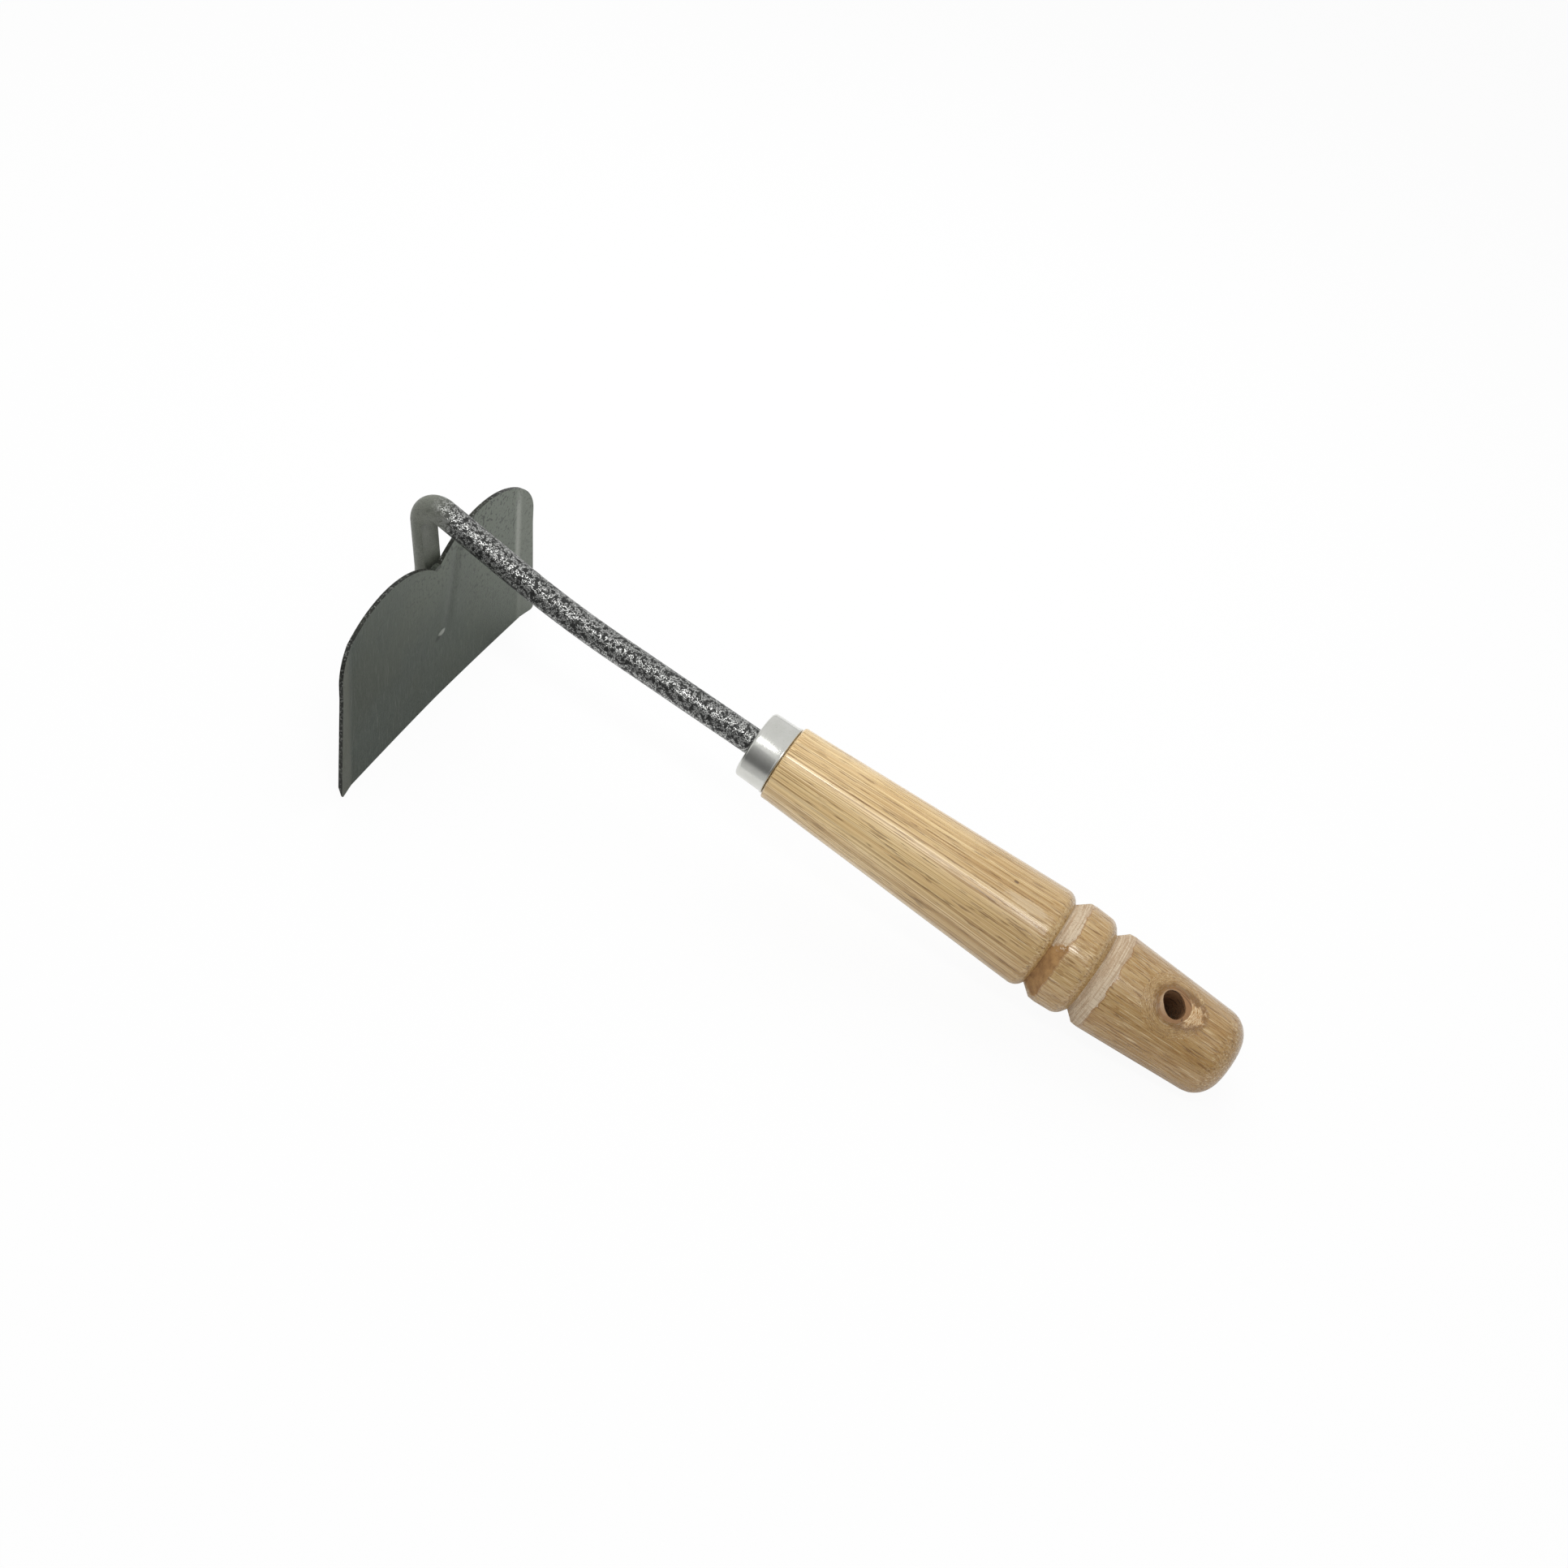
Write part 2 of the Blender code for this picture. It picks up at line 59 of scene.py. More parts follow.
# %% From the handle's frame to the world
HOE_TURN = 0.194988
HOE_PLACE = Vector((-0.023225, 0.0, 0.047662))
SHOULDER_X, HANDLE_LENGTH = 10.9 * MM, 168.1 * MM
BUTT_X = SHOULDER_X + HANDLE_LENGTH
hoe_to_world = Matrix.Translation(HOE_PLACE) @ Matrix.Rotation(HOE_TURN, 4, "Y")
print("butt at", [round(v / MM, 1) for v in hoe_to_world @ Vector((BUTT_X, 0.0, 0.0))], "mm")

# %% Helpers that add objects and finished pieces
SHARP_ANGLE = radians(38.0)


def add_object(name, data):
    """Put an object with the given data in the scene."""
    thing = bpy.data.objects.new(name, data)
    bpy.context.scene.collection.objects.link(thing)
    return thing


def mesh_object(name, mesh_data, finishes=()):
    """Turn a bmesh into an object with its finishes."""
    mesh = bpy.data.meshes.new(name)
    mesh_data.to_mesh(mesh)
    mesh_data.free()
    for finish in finishes:
        mesh.materials.append(finish)
    return add_object(name, mesh)


def add_piece(name, mesh_data, finishes, stands_for, local=Matrix.Identity(4), sharp=SHARP_ANGLE):
    """Make a piece from a bmesh in the handle's frame, let it ride on the hoe and hide its CAD solid."""
    mesh_data.transform(hoe_to_world @ local)
    bmesh.ops.recalc_face_normals(mesh_data, faces=mesh_data.faces)
    piece = mesh_object(name, mesh_data, finishes)
    piece.data.shade_smooth()
    piece.data.set_sharp_from_angle(angle=sharp)
    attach(piece, "root")
    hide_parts(stands_for)
    print(name, len(piece.data.vertices), "points")
    return piece


# %% [markdown]
# ## Wiring shader nodes
#
# A procedural finish is a tree of small nodes. A few helpers keep it readable. One adds a node and fills its
# inputs: an output knows which tree it is in, so the helpers needn't be told. Some do arithmetic with numbers or
# vectors, some carry a value from one range to another, and two lay one colour over another. A node group is a
# tree with a name, which is built once and used in several finishes.

# %% Helpers for numbers and vectors
def put(kind, inputs, **options):
    """Add a node to the tree that feeds it, set its options and fill its inputs with numbers or outputs."""
    feeds = {socket: value for socket, value in inputs.items() if isinstance(value, bpy.types.NodeSocket)}
    tree = next(iter(feeds.values())).id_data
    node = tree.nodes.new(kind)
    for option, value in options.items():
        setattr(node, option, value)
    for socket, value in inputs.items():
        if socket in feeds:
            tree.links.new(value, node.inputs[socket])
        else:
            node.inputs[socket].default_value = value
    return node


def calc(operation, first, second=0.0, clamp=False):
    """One step of arithmetic."""
    return put("ShaderNodeMath", {0: first, 1: second}, operation=operation, use_clamp=clamp).outputs[0]


def step(operation):
    """A short name for a step that comes often."""
    return lambda first, second: calc(operation, first, second)


plus, minus, times, larger = (step(operation) for operation in ("ADD", "SUBTRACT", "MULTIPLY", "MAXIMUM"))


def apart(first, second):
    """How far two values are from each other."""
    return calc("ABSOLUTE", minus(first, second))


def arrow(operation, first, second=(0.0, 0.0, 0.0)):
    """One step of arithmetic with vectors."""
    node = put("ShaderNodeVectorMath", {0: first, 1: second}, operation=operation)
    return node.outputs[1 if operation == "LENGTH" else 0]


def carry(value, low, high, new_low=0.0, new_high=1.0):
    """Carry a value from one range to another with soft ends."""
    return put("ShaderNodeMapRange", {0: value, 1: low, 2: high, 3: new_low, 4: new_high},
               interpolation_type="SMOOTHSTEP").outputs[0]


def fade(value, low, high):
    """From one down to nothing while a value goes from low to high."""
    return carry(value, low, high, 1.0, 0.0)


def between(value, rise, full, fall, end):
    """Nothing, then one from full to fall, then nothing again."""
    return times(carry(value, rise, full), fade(value, fall, end))


def speckle(vector, size, detail=2.0, rough=0.5):
    """Noise whose lumps are about as large as the given size in metres."""
    return put("ShaderNodeTexNoise", {"Vector": vector, "Scale": 1 / size, "Detail": detail,
                                      "Roughness": rough}).outputs[0]


# %% Helpers for colours
def shade(red, green, blue):
    """A colour as the eye reads it, 0 to 255, turned into the linear light that shaders work in."""
    values = [v / 255 for v in (red, green, blue)]
    return [v / 12.92 if v <= 0.04045 else ((v + 0.055) / 1.055) ** 2.4 for v in values] + [1.0]


def stain(share, first, second):
    """Lay a second colour over a first one by a share; plain colours are three numbers as the eye reads them."""
    first, second = (shade(*tone) if isinstance(tone, tuple) else tone for tone in (first, second))
    return put("ShaderNodeMix", {0: share, 6: first, 7: second}, data_type="RGBA").outputs[2]


def glaze(colour, mask, strength, tone):
    """Lay a tone over a colour where a mask is, at part of its strength."""
    return stain(times(mask, strength), colour, tone)


# %% Helpers for groups and finishes
def give(sockets, **results):
    """Wire results to the sockets that they are named after."""
    for socket, result in results.items():
        result.id_data.links.new(result, sockets[socket.replace("_", " ")])


def new_group(name, values, results):
    """A node group that takes a vector and named values, and puts out named numbers."""
    tree = bpy.data.node_groups.new(name, "ShaderNodeTree")
    for label, value in {"Vector": (0.0, 0.0, 0.0), **values}.items():
        kind = "NodeSocketVector" if isinstance(value, tuple) else "NodeSocketFloat"
        tree.interface.new_socket(label, in_out="INPUT", socket_type=kind).default_value = value
    for label in results:
        tree.interface.new_socket(label, in_out="OUTPUT", socket_type="NodeSocketFloat")
    print("group", name)
    return tree.nodes.new("NodeGroupInput").outputs, tree.nodes.new("NodeGroupOutput").inputs


def use_group(name, vector, **values):
    """Place a group in a material with its own values."""
    group = bpy.data.node_groups[name]
    return put("ShaderNodeGroup", {"Vector": vector, **values}, node_tree=group).outputs


def new_finish(name, piece_frame, **constants):
    """A material with its Principled shader; what is the same all over is set on the shader's own sockets."""
    finish = bpy.data.materials.new(name)
    finish.use_nodes = True
    shader = finish.node_tree.nodes["Principled BSDF"]
    for socket, value in constants.items():
        shader.inputs[socket.replace("_", " ")].default_value = value
    in_world = finish.node_tree.nodes.new("ShaderNodeTexCoord").outputs["Object"]
    back = put("ShaderNodeMapping", {"Vector": in_world, "Location": piece_frame.to_translation(),
                                     "Rotation": piece_frame.to_euler("XYZ")}, vector_type="TEXTURE")
    print("finish", name)
    return finish, shader, back.outputs[0]


def finish_with(shader, height, bump, reach, **results):
    """Wire the colour, roughness and so on of a finish to its shader, and its heights as relief."""
    relief = put("ShaderNodeBump", {"Strength": bump, "Distance": reach, "Height": height})
    give(shader.inputs, Normal=relief.outputs[0], **results)


# %% [markdown]
# ## Effects that several finishes share
#
# Hammered paint sets into small islands with veins between them, on the rod, the blade and the welds. A Voronoi
# texture draws such cells, and a little noise bends their borders so that they don't look like tiles. Drawn
# lines are noise that is stretched along one axis: wood fibres, polishing marks and fine scratches. Grain lines
# are the places where stretched noise passes through its middle value, like thin contour lines. Handling marks
# are slow clouds and grit that vary what hands have touched. Rubbed edges use the mesh's own pointiness, which
# is high on ridges, broken up by noise. A blot is a soft spot with a frayed outline, for a fleck or a chip.

# %% Hammered skin
given, result = new_group("hammered_skin", {"Cell": 0.9 * MM, "Wander": 0.6}, ["Island", "Vein", "Height"])
per_metre = calc("DIVIDE", 1.0, given["Cell"])
wander = put("ShaderNodeTexNoise", {"Vector": given["Vector"], "Scale": per_metre, "Detail": 2.0})
centred = arrow("SUBTRACT", wander.outputs["Color"], (0.5, 0.5, 0.5))
shift = put("ShaderNodeVectorMath", {0: centred, 3: times(given["Cell"], given["Wander"])},
            operation="SCALE").outputs[0]
bent = arrow("ADD", given["Vector"], shift)
cells = put("ShaderNodeTexVoronoi", {"Vector": bent, "Scale": per_metre}, feature="DISTANCE_TO_EDGE")
tone = put("ShaderNodeTexVoronoi", {"Vector": bent, "Scale": per_metre}, feature="F1")
chance = put("ShaderNodeSeparateColor", {0: tone.outputs["Color"]}).outputs[0]
give(result, Island=chance, Vein=fade(cells.outputs["Distance"], 0.02, 0.17),
     Height=carry(cells.outputs["Distance"], 0.0, 0.32))

# %% Drawn lines
given, result = new_group(
    "drawn_lines", {"Stretch": (100.0, 2000.0, 2000.0), "Low": 0.4, "High": 0.6}, ["Lines"])
fibre = speckle(arrow("MULTIPLY", given["Vector"], given["Stretch"]), 1.0)
give(result, Lines=carry(fibre, given["Low"], given["High"]))

# %% Grain lines
given, result = new_group("grain_lines", {"Stretch": (6.0, 650.0, 650.0), "Width": 0.05}, ["Lines"])
rings = speckle(arrow("MULTIPLY", given["Vector"], given["Stretch"]), 1.0, detail=1.0)
core = times(given["Width"], 0.3)
give(result, Lines=fade(apart(rings, 0.5), core, given["Width"]))

# %% Handling marks
given, result = new_group("handling_marks", {"Size": 12 * MM}, ["Cloud", "Grit"])
for label, fineness, detail, low, high in (("Cloud", 1.0, 4.0, 0.3, 0.7), ("Grit", 16.0, 1.0, 0.62, 0.78)):
    scale = calc("DIVIDE", fineness, given["Size"])
    clouds = put("ShaderNodeTexNoise", {"Vector": given["Vector"], "Scale": scale, "Detail": detail})
    give(result, **{label: carry(clouds.outputs[0], low, high)})

# %% Rubbed edges
given, result = new_group("rubbed_edges", {"Start": 0.52, "Full": 0.6}, ["Rub"])
shape = given["Vector"].id_data.nodes.new("ShaderNodeNewGeometry").outputs
ridge = carry(shape["Pointiness"], given["Start"], given["Full"])
broken = carry(speckle(given["Vector"], 0.9 * MM), 0.35, 0.6)
give(result, Rub=times(ridge, broken))

# %% Blots with soft uneven outlines
given, result = new_group(
    "blot", {"Middle": (0.0, 0.0, 0.0), "Spread": (300.0, 300.0, 300.0), "Fray": 1.0}, ["Blot", "Reach"])
from_middle = arrow("SUBTRACT", given["Vector"], given["Middle"])
reach = arrow("LENGTH", arrow("MULTIPLY", from_middle, given["Spread"]))
waves = minus(speckle(given["Vector"], 2.2 * MM, detail=4.0, rough=0.6), 0.5)
frayed = plus(reach, times(waves, given["Fray"]))
give(result, Reach=frayed, Blot=fade(frayed, 0.7, 1.1))

# %% [markdown]
# ## Hammered paint on the rod
#
# The paint is a dark resin full of fine aluminium flakes. As it dries it draws back into small dark pits, and
# the flakes gather in a silver net between them. The net is metal and stands up a little, so it glints where it
# faces a lamp, and the pits stay dark and dull. On the hook and the strap the paint ran together while it was
# wet: there it is an even grey-green with small dark specks. How far round the hook a point is decides which of
# the two it gets.

# %% The rod's paint
rod_paint, shader, spot = new_finish("hammered_rod_paint", hoe_to_world, Specular_IOR_Level=0.5)
skin = use_group("hammered_skin", spot, Cell=0.7 * MM, Wander=1.3)
fine = use_group("hammered_skin", spot, Cell=0.5 * MM, Wander=1.2)
marks = use_group("handling_marks", spot, Size=14 * MM)
place = put("ShaderNodeSeparateXYZ", {0: spot}).outputs
round_hook = times(plus(place[0], place[2]), -1.0)
calm = carry(plus(round_hook, times(marks["Cloud"], 5 * MM)), 110 * MM, 123 * MM)

patchy = carry(speckle(spot, 1.2 * MM), 0.36, 0.56, 0.35, 1.0)
both_nets = larger(skin["Vein"], times(fine["Vein"], 0.6))
net = carry(times(both_nets, patchy), 0.44, 0.86)
pit = stain(skin["Island"], (5, 6, 5), (30, 32, 29))
speckled = stain(net, pit, (214, 215, 212))
even = stain(marks["Cloud"], (98, 102, 92), (120, 123, 113))
even = glaze(even, fine["Vein"], 0.45, (42, 45, 40))
colour = stain(calm, speckled, even)
metal = times(carry(net, 0.1, 0.7), carry(calm, 0.0, 1.0, 1.0, 0.35))
rough = plus(carry(net, 0.1, 0.8, 0.4, 0.2), times(calm, 0.12))
height = plus(skin["Height"], times(fine["Height"], 0.5))
height = times(height, carry(calm, 0.0, 1.0, -1.0, 0.3))
finish_with(shader, height, bump=0.5, reach=0.14 * MM, Base_Color=colour, Roughness=rough, Metallic=metal)

# %% [markdown]
# ## Satin paint on the blade and the welds
#
# The same paint is sprayed thinner on the blade, so the islands are small and faint and the plate looks
# green-grey and satin. Slow clouds make it a little browner or greener, and hair-thin scratches run down it.
# Towards the tops of the lobes and towards the far lobe it turns paler: partly dry dust that has settled there
# with coarse dark specks, and partly painted sheen. The side bands carry painted light: a paler tone on each
# band and a painted highlight along the far crease. The weld behind the blade drew a small crooked mark on the
# front, painted with a highlight above and a shade below, and a long faint painted shadow runs from the mark up
# towards the notch. The cut edges and the welds carry a thick black run of paint with a few bright flakes, so
# they get a finish of their own from the same recipe.

# %% The blade's paint
CREASE_Y = 49 * MM


def make_blade_paint(name, island_size, depth, dark, pale, deep, flake_share, light_and_dust_share):
    """Hammered paint in two tones of island, with deep veins, bright flakes, dust and painted sheen where it is
    high, and painted light and shade on the side bands and the weld mark.
    """
    finish, shader, spot = new_finish(name, hoe_to_world, Specular_IOR_Level=0.3)
    skin = use_group("hammered_skin", spot, Cell=island_size, Wander=1.2)
    marks = use_group("handling_marks", spot, Size=30 * MM)
    lines = use_group("drawn_lines", spot, Stretch=(500.0, 3200.0, 70.0), Low=0.56, High=0.7)
    colour = stain(skin["Island"], dark, pale)
    colour = glaze(colour, skin["Vein"], 0.5, deep)
    colour = glaze(colour, marks["Cloud"], 0.35, (70, 72, 60))
    colour = glaze(colour, lines["Lines"], 0.25, (112, 116, 108))

    place = put("ShaderNodeSeparateXYZ", {0: spot}).outputs
    # Paler towards the tops of the lobes and the far lobe: partly dry dust with coarse dark specks, partly
    # painted sheen.
    high = plus(place[2], times(place[1], 0.75))
    uneven = plus(high, times(marks["Cloud"], 14 * MM))
    dust_and_sheen = carry(uneven, -60 * MM, 26 * MM, 0.0, light_and_dust_share)
    colour = stain(dust_and_sheen, colour, (108, 115, 104))
    coarse = carry(speckle(spot, 1.2 * MM, detail=3.0), 0.54, 0.62)
    colour = glaze(colour, coarse, dust_and_sheen, (58, 62, 56))

    # Painted light on the bent side bands: a paler tone on the far band, a painted highlight along its crease,
    # and a paler, browner tone on the near band.
    far_band_light = carry(place[1], CREASE_Y, 51 * MM, 0.0, 0.45 * light_and_dust_share)
    crease_highlight = carry(apart(place[1], CREASE_Y), 0.2 * MM, 2.6 * MM, 0.65 * light_and_dust_share, 0.0)
    crease_highlight = times(crease_highlight, between(place[2], -54 * MM, -38 * MM, -22 * MM, -8 * MM))
    near_band_light = carry(place[1], -54 * MM, -51 * MM, 0.45 * light_and_dust_share, 0.0)
    # A long faint painted shadow beside the strap, from the weld mark up towards the notch.
    shadow_line = plus(times(place[2], 0.1985), 14.8 * MM)
    shadow = carry(apart(place[1], shadow_line), 0.5 * MM, 5.0 * MM, 0.25 * light_and_dust_share, 0.0)
    shadow = times(shadow, between(place[2], -46 * MM, -38 * MM, -20 * MM, -12 * MM))
    for share, tone in ((far_band_light, (128, 132, 124)), (crease_highlight, (164, 167, 159)), (near_band_light, (94, 94, 80)),
                        (shadow, (46, 50, 45))):
        colour = stain(share, colour, tone)
    # The weld mark gets a painted highlight on its upper spot and a painted shade on its lower spot.
    for middle, tone in (((-110.5 * MM, 2.7 * MM, -43.7 * MM), (150, 153, 146)),
                         ((-110.5 * MM, 0.9 * MM, -45.0 * MM), (34, 37, 33))):
        mark_light_and_shade = use_group("blot", spot, Middle=middle, Spread=(60.0, 460.0, 1050.0))
        colour = glaze(colour, mark_light_and_shade["Blot"], 0.8 * light_and_dust_share, tone)

    flakes = carry(skin["Island"], 0.8, 0.92, 0.0, flake_share)
    colour = stain(flakes, colour, (150, 152, 147))
    rough = plus(0.42, times(marks["Cloud"], 0.1))
    metal = minus(0.22, times(skin["Vein"], 0.2))
    relief = minus(skin["Height"], times(lines["Lines"], 0.3))
    finish_with(shader, relief, bump=0.6, reach=depth, Base_Color=colour, Roughness=rough, Metallic=metal)
    return finish


sheet_paint = make_blade_paint("satin_sheet_paint", 0.75 * MM, 0.05 * MM, (42, 53, 43), (58, 69, 58),
                               (34, 38, 33), flake_share=0.0, light_and_dust_share=0.9)
rim_paint = make_blade_paint("cut_edge_paint", 0.45 * MM, 0.06 * MM, (16, 18, 16), (36, 38, 35),
                             (8, 9, 8), flake_share=0.4, light_and_dust_share=0.0)
weld_paint = make_blade_paint("weld_paint", 1.1 * MM, 0.07 * MM, (46, 51, 45), (88, 94, 86),
                              (16, 18, 16), flake_share=0.2, light_and_dust_share=0.0)

# %% [markdown]
# ## Bright steel on the ferrule
#
# The ferrule is drawn from thin steel and plated, so it mirrors the studio. Fine lines run round it from
# polishing on a spindle, and hands leave faint clouds in the gloss.

# %% The ferrule's steel
bright_steel, shader, spot = new_finish("bright_plated_steel", hoe_to_world, Metallic=1.0)
marks = use_group("handling_marks", spot, Size=5 * MM)
polish = use_group("drawn_lines", spot, Stretch=(9000.0, 90.0, 90.0), Low=0.35, High=0.65)["Lines"]
rub = use_group("rubbed_edges", spot, Start=0.55, Full=0.65)
colour = glaze((222, 222, 217), marks["Cloud"], 0.5, (206, 207, 200))
colour = glaze(colour, marks["Grit"], 0.25, (120, 118, 108))
colour = glaze(colour, rub["Rub"], 0.4, (240, 240, 237))
rough = plus(carry(polish, 0.0, 1.0, 0.13, 0.2), times(marks["Cloud"], 0.06))
finish_with(shader, polish, bump=0.25, reach=0.01 * MM, Base_Color=colour, Roughness=rough)

# %% [markdown]
# ## Varnished wood
#
# The handle is a honey-coloured hardwood with many fine dark lines, short pores and broad bands of paler and
# browner wood. All of them run along the handle, so the noise that draws them is stretched along X, and because
# it is solid noise it also gives dots on the butt's end grain. The hanging hole goes through a knot: an uneven
# brown ring lies round it, and beside its mouth a pale chip has broken out. The varnish ends in a ragged line
# where the grooves were cut after varnishing. There the raw wood shows, pale and pinkish grey, with one patch
# that is stained brown.

# %% Places along the handle
GROOVE_ONE_X = BUTT_X - 66.8 * MM
GROOVE_TWO_X = BUTT_X - 50.8 * MM
HOLE_X = BUTT_X - 26.0 * MM
HOLE_TURN = radians(21.0)
HOLE_RADIUS = 4.3 * MM
MOUTH_REACH = 16.8 * MM
hole_way = Vector((0.0, -sin(HOLE_TURN), cos(HOLE_TURN)))
hole_mouth = Vector((HOLE_X, 0.0, 0.0)) + hole_way * MOUTH_REACH
print("hanging hole", round(HOLE_X / MM, 1), "mm from the ferrule's front")

# %% A band round the handle that ends in a ragged line
given, result = new_group("ragged_band", {"From": 0.0, "To": 0.0, "Rag": 0.6 * MM}, ["Band"])
along = put("ShaderNodeSeparateXYZ", {0: given["Vector"]}).outputs[0]
waves = minus(speckle(given["Vector"], 4 * MM, detail=4.0, rough=0.65), 0.5)
started = calc("GREATER_THAN", along, given["From"])
ended = calc("GREATER_THAN", plus(along, times(waves, given["Rag"])), given["To"])
give(result, Band=calc("SUBTRACT", started, ended, clamp=True))

# %% How far a point is from the middle line of the hole and its knot
given, result = new_group("knot_space", {"Middle": (0.0, 0.0, 0.0), "Way": (0.0, 0.0, 0.0)}, ["Distance"])
from_middle = arrow("SUBTRACT", given["Vector"], given["Middle"])
reach = arrow("LENGTH", arrow("CROSS_PRODUCT", from_middle, given["Way"]))
give(result, Distance=reach)

# %% The way the grain flows
GRIP_RADIUS = 17.4 * MM
FRONT_RADIUS, TAPER = 12.59 * MM, 0.0462
handle_wood, shader, spot = new_finish("varnished_wood", hoe_to_world, Coat_Roughness=0.22, Coat_IOR=1.7)
marks = use_group("handling_marks", spot, Size=26 * MM)
from_hole = use_group("knot_space", spot, Middle=tuple(hole_mouth), Way=tuple(hole_way))["Distance"]
near_knot = carry(from_hole, 5.0 * MM, 11 * MM, 0.6, 0.0)

slow = put("ShaderNodeTexNoise", {"Vector": spot, "Scale": 9.0, "Detail": 1.0}).outputs["Color"]
sway = arrow("MULTIPLY", slow, (0.0, 2 * MM, 2 * MM))
along = put("ShaderNodeSeparateXYZ", {0: spot}).outputs
radius_here = plus(FRONT_RADIUS, times(along[0], TAPER))
fanned = calc("DIVIDE", GRIP_RADIUS, calc("MINIMUM", radius_here, GRIP_RADIUS))
evened = arrow("MULTIPLY", spot, put("ShaderNodeCombineXYZ", {0: 1.0, 1: fanned, 2: fanned}).outputs[0])
swayed = arrow("ADD", evened, sway)
ringed = put("ShaderNodeCombineXYZ", {0: times(from_hole, 0.3), 1: from_hole}).outputs[0]
flow = put("ShaderNodeMix", {0: near_knot, 4: swayed, 5: ringed}, data_type="VECTOR").outputs[1]


# %% The grain and its colours
def drawn(stretch, low, high):
    """Stretched noise that follows the grain round the knot."""
    return use_group("drawn_lines", flow, Stretch=stretch, Low=low, High=high)["Lines"]


def grain(stretch, width):
    """Thin dark lines that follow the grain round the knot."""
    return use_group("grain_lines", flow, Stretch=stretch, Width=width)["Lines"]


bands = drawn((3.0, 240.0, 380.0), 0.42, 0.62)
streaks = drawn((4.5, 1500.0, 1700.0), 0.55, 0.62)
fibres = drawn((10.0, 2600.0, 2600.0), 0.48, 0.58)
pale_fibres = drawn((9.0, 1700.0, 1700.0), 0.56, 0.66)
pores = drawn((95.0, 1500.0, 1500.0), 0.6, 0.66)
wide_grain = grain((1.6, 520.0, 620.0), 0.04)
fine_grain = grain((2.8, 1100.0, 1250.0), 0.05)
# Darker and browner towards the butt: browner wood, and painted shade where the light falls off.
towards_butt = carry(along[0], 20 * MM, 165 * MM)
wide_share = plus(0.16, times(bands, 0.14))
colour = stain(marks["Cloud"], (244, 218, 164), (238, 208, 149))
for mask, strength, tone in ((bands, 0.28, (214, 172, 114)), (towards_butt, 0.85, (158, 121, 63)),
                             (streaks, 0.5, (150, 110, 58)), (pale_fibres, 0.35, (246, 224, 180)),
                             (fibres, 0.3, (164, 122, 70)), (fine_grain, 0.55, (140, 100, 50)),
                             (wide_grain, wide_share, (128, 90, 44)), (pores, 0.6, (112, 76, 32))):
    colour = glaze(colour, mask, strength, tone)
print("knot at", round(hole_mouth.x / MM, 1), "mm")

# %% The knot round the hanging hole, its chip, a painted highlight and three dark flecks
ring = use_group("blot", spot, Middle=(155.2 * MM, -5.6 * MM, 16.0 * MM), Fray=0.6,
                 Spread=(1 / (7.9 * MM), 1 / (6.2 * MM), 1 / (6.2 * MM)))["Reach"]
colour = glaze(colour, fade(ring, 0.75, 0.95), 0.5, (178, 142, 94))
colour = glaze(colour, between(ring, 0.6, 0.84, 1.05, 1.35), 0.9, (120, 82, 18))
chip = use_group("blot", spot, Middle=(159.0 * MM, -5.6 * MM, 15.9 * MM), Fray=1.6,
                 Spread=(190.0, 210.0, 210.0))
chip_rim = carry(chip["Reach"], 1.0, 1.3, 0.5, 0.0)
colour = stain(chip_rim, colour, (132, 92, 50))
chip_colour = stain(drawn((300.0, 1500.0, 1500.0), 0.42, 0.58), (226, 200, 160), (176, 132, 80))
colour = glaze(colour, chip["Blot"], 0.9, chip_colour)

# A pale patch on the grip before the first groove is a painted highlight.
HIGHLIGHT_PATCH = (110.0, 520.0, 520.0), 0.25, (244, 228, 198)
FLECK = (900.0, 1500.0, 1500.0), 0.75, (88, 60, 32)
for x, y, z, (spread, strength, tone) in ((99.0, -6.8, 16.0, HIGHLIGHT_PATCH), (92.2, -2.1, 16.8, FLECK),
                                          (170.2, -16.8, 1.2, FLECK), (174.5, -2.5, 15.4, FLECK)):
    mark = use_group("blot", spot, Middle=(x * MM, y * MM, z * MM), Spread=spread)
    colour = glaze(colour, mark["Blot"], strength, tone)


# %% The raw grooves
def raw_bands(longer):
    """The raw wood of both grooves, as one band each."""
    return [use_group("ragged_band", spot, From=groove_x - 0.5 * MM, To=groove_x + width + longer,
                      Rag=3.2 * MM)["Band"]
            for groove_x, width in ((GROOVE_ONE_X, 4.5 * MM), (GROOVE_TWO_X, 5.4 * MM))]


first_raw, second_raw = raw_bands(0.0)
raw = larger(first_raw, second_raw)
outlined = larger(*raw_bands(0.45 * MM))
turning = use_group("drawn_lines", spot, Stretch=(2600.0, 90.0, 90.0), Low=0.4, High=0.62)["Lines"]
raw_colour = stain(turning, (206, 188, 162), (180, 156, 128))
raw_colour = glaze(raw_colour, fine_grain, 0.4, (150, 122, 92))
low_side = fade(plus(along[1], times(streaks, 1.6 * MM)), -10.6 * MM, -9.0 * MM)
stained = times(first_raw, times(low_side, carry(along[2], -9 * MM, -6 * MM)))
mottled = carry(speckle(spot, 3.0 * MM, detail=4.0), 0.3, 0.7)
raw_colour = stain(stained, raw_colour, stain(mottled, (170, 130, 80), (138, 100, 58)))
colour = glaze(colour, outlined, 0.55, (150, 108, 66))
colour = stain(raw, colour, raw_colour)
print("raw wood from", round((GROOVE_ONE_X - 0.5 * MM) / MM, 1), "mm")

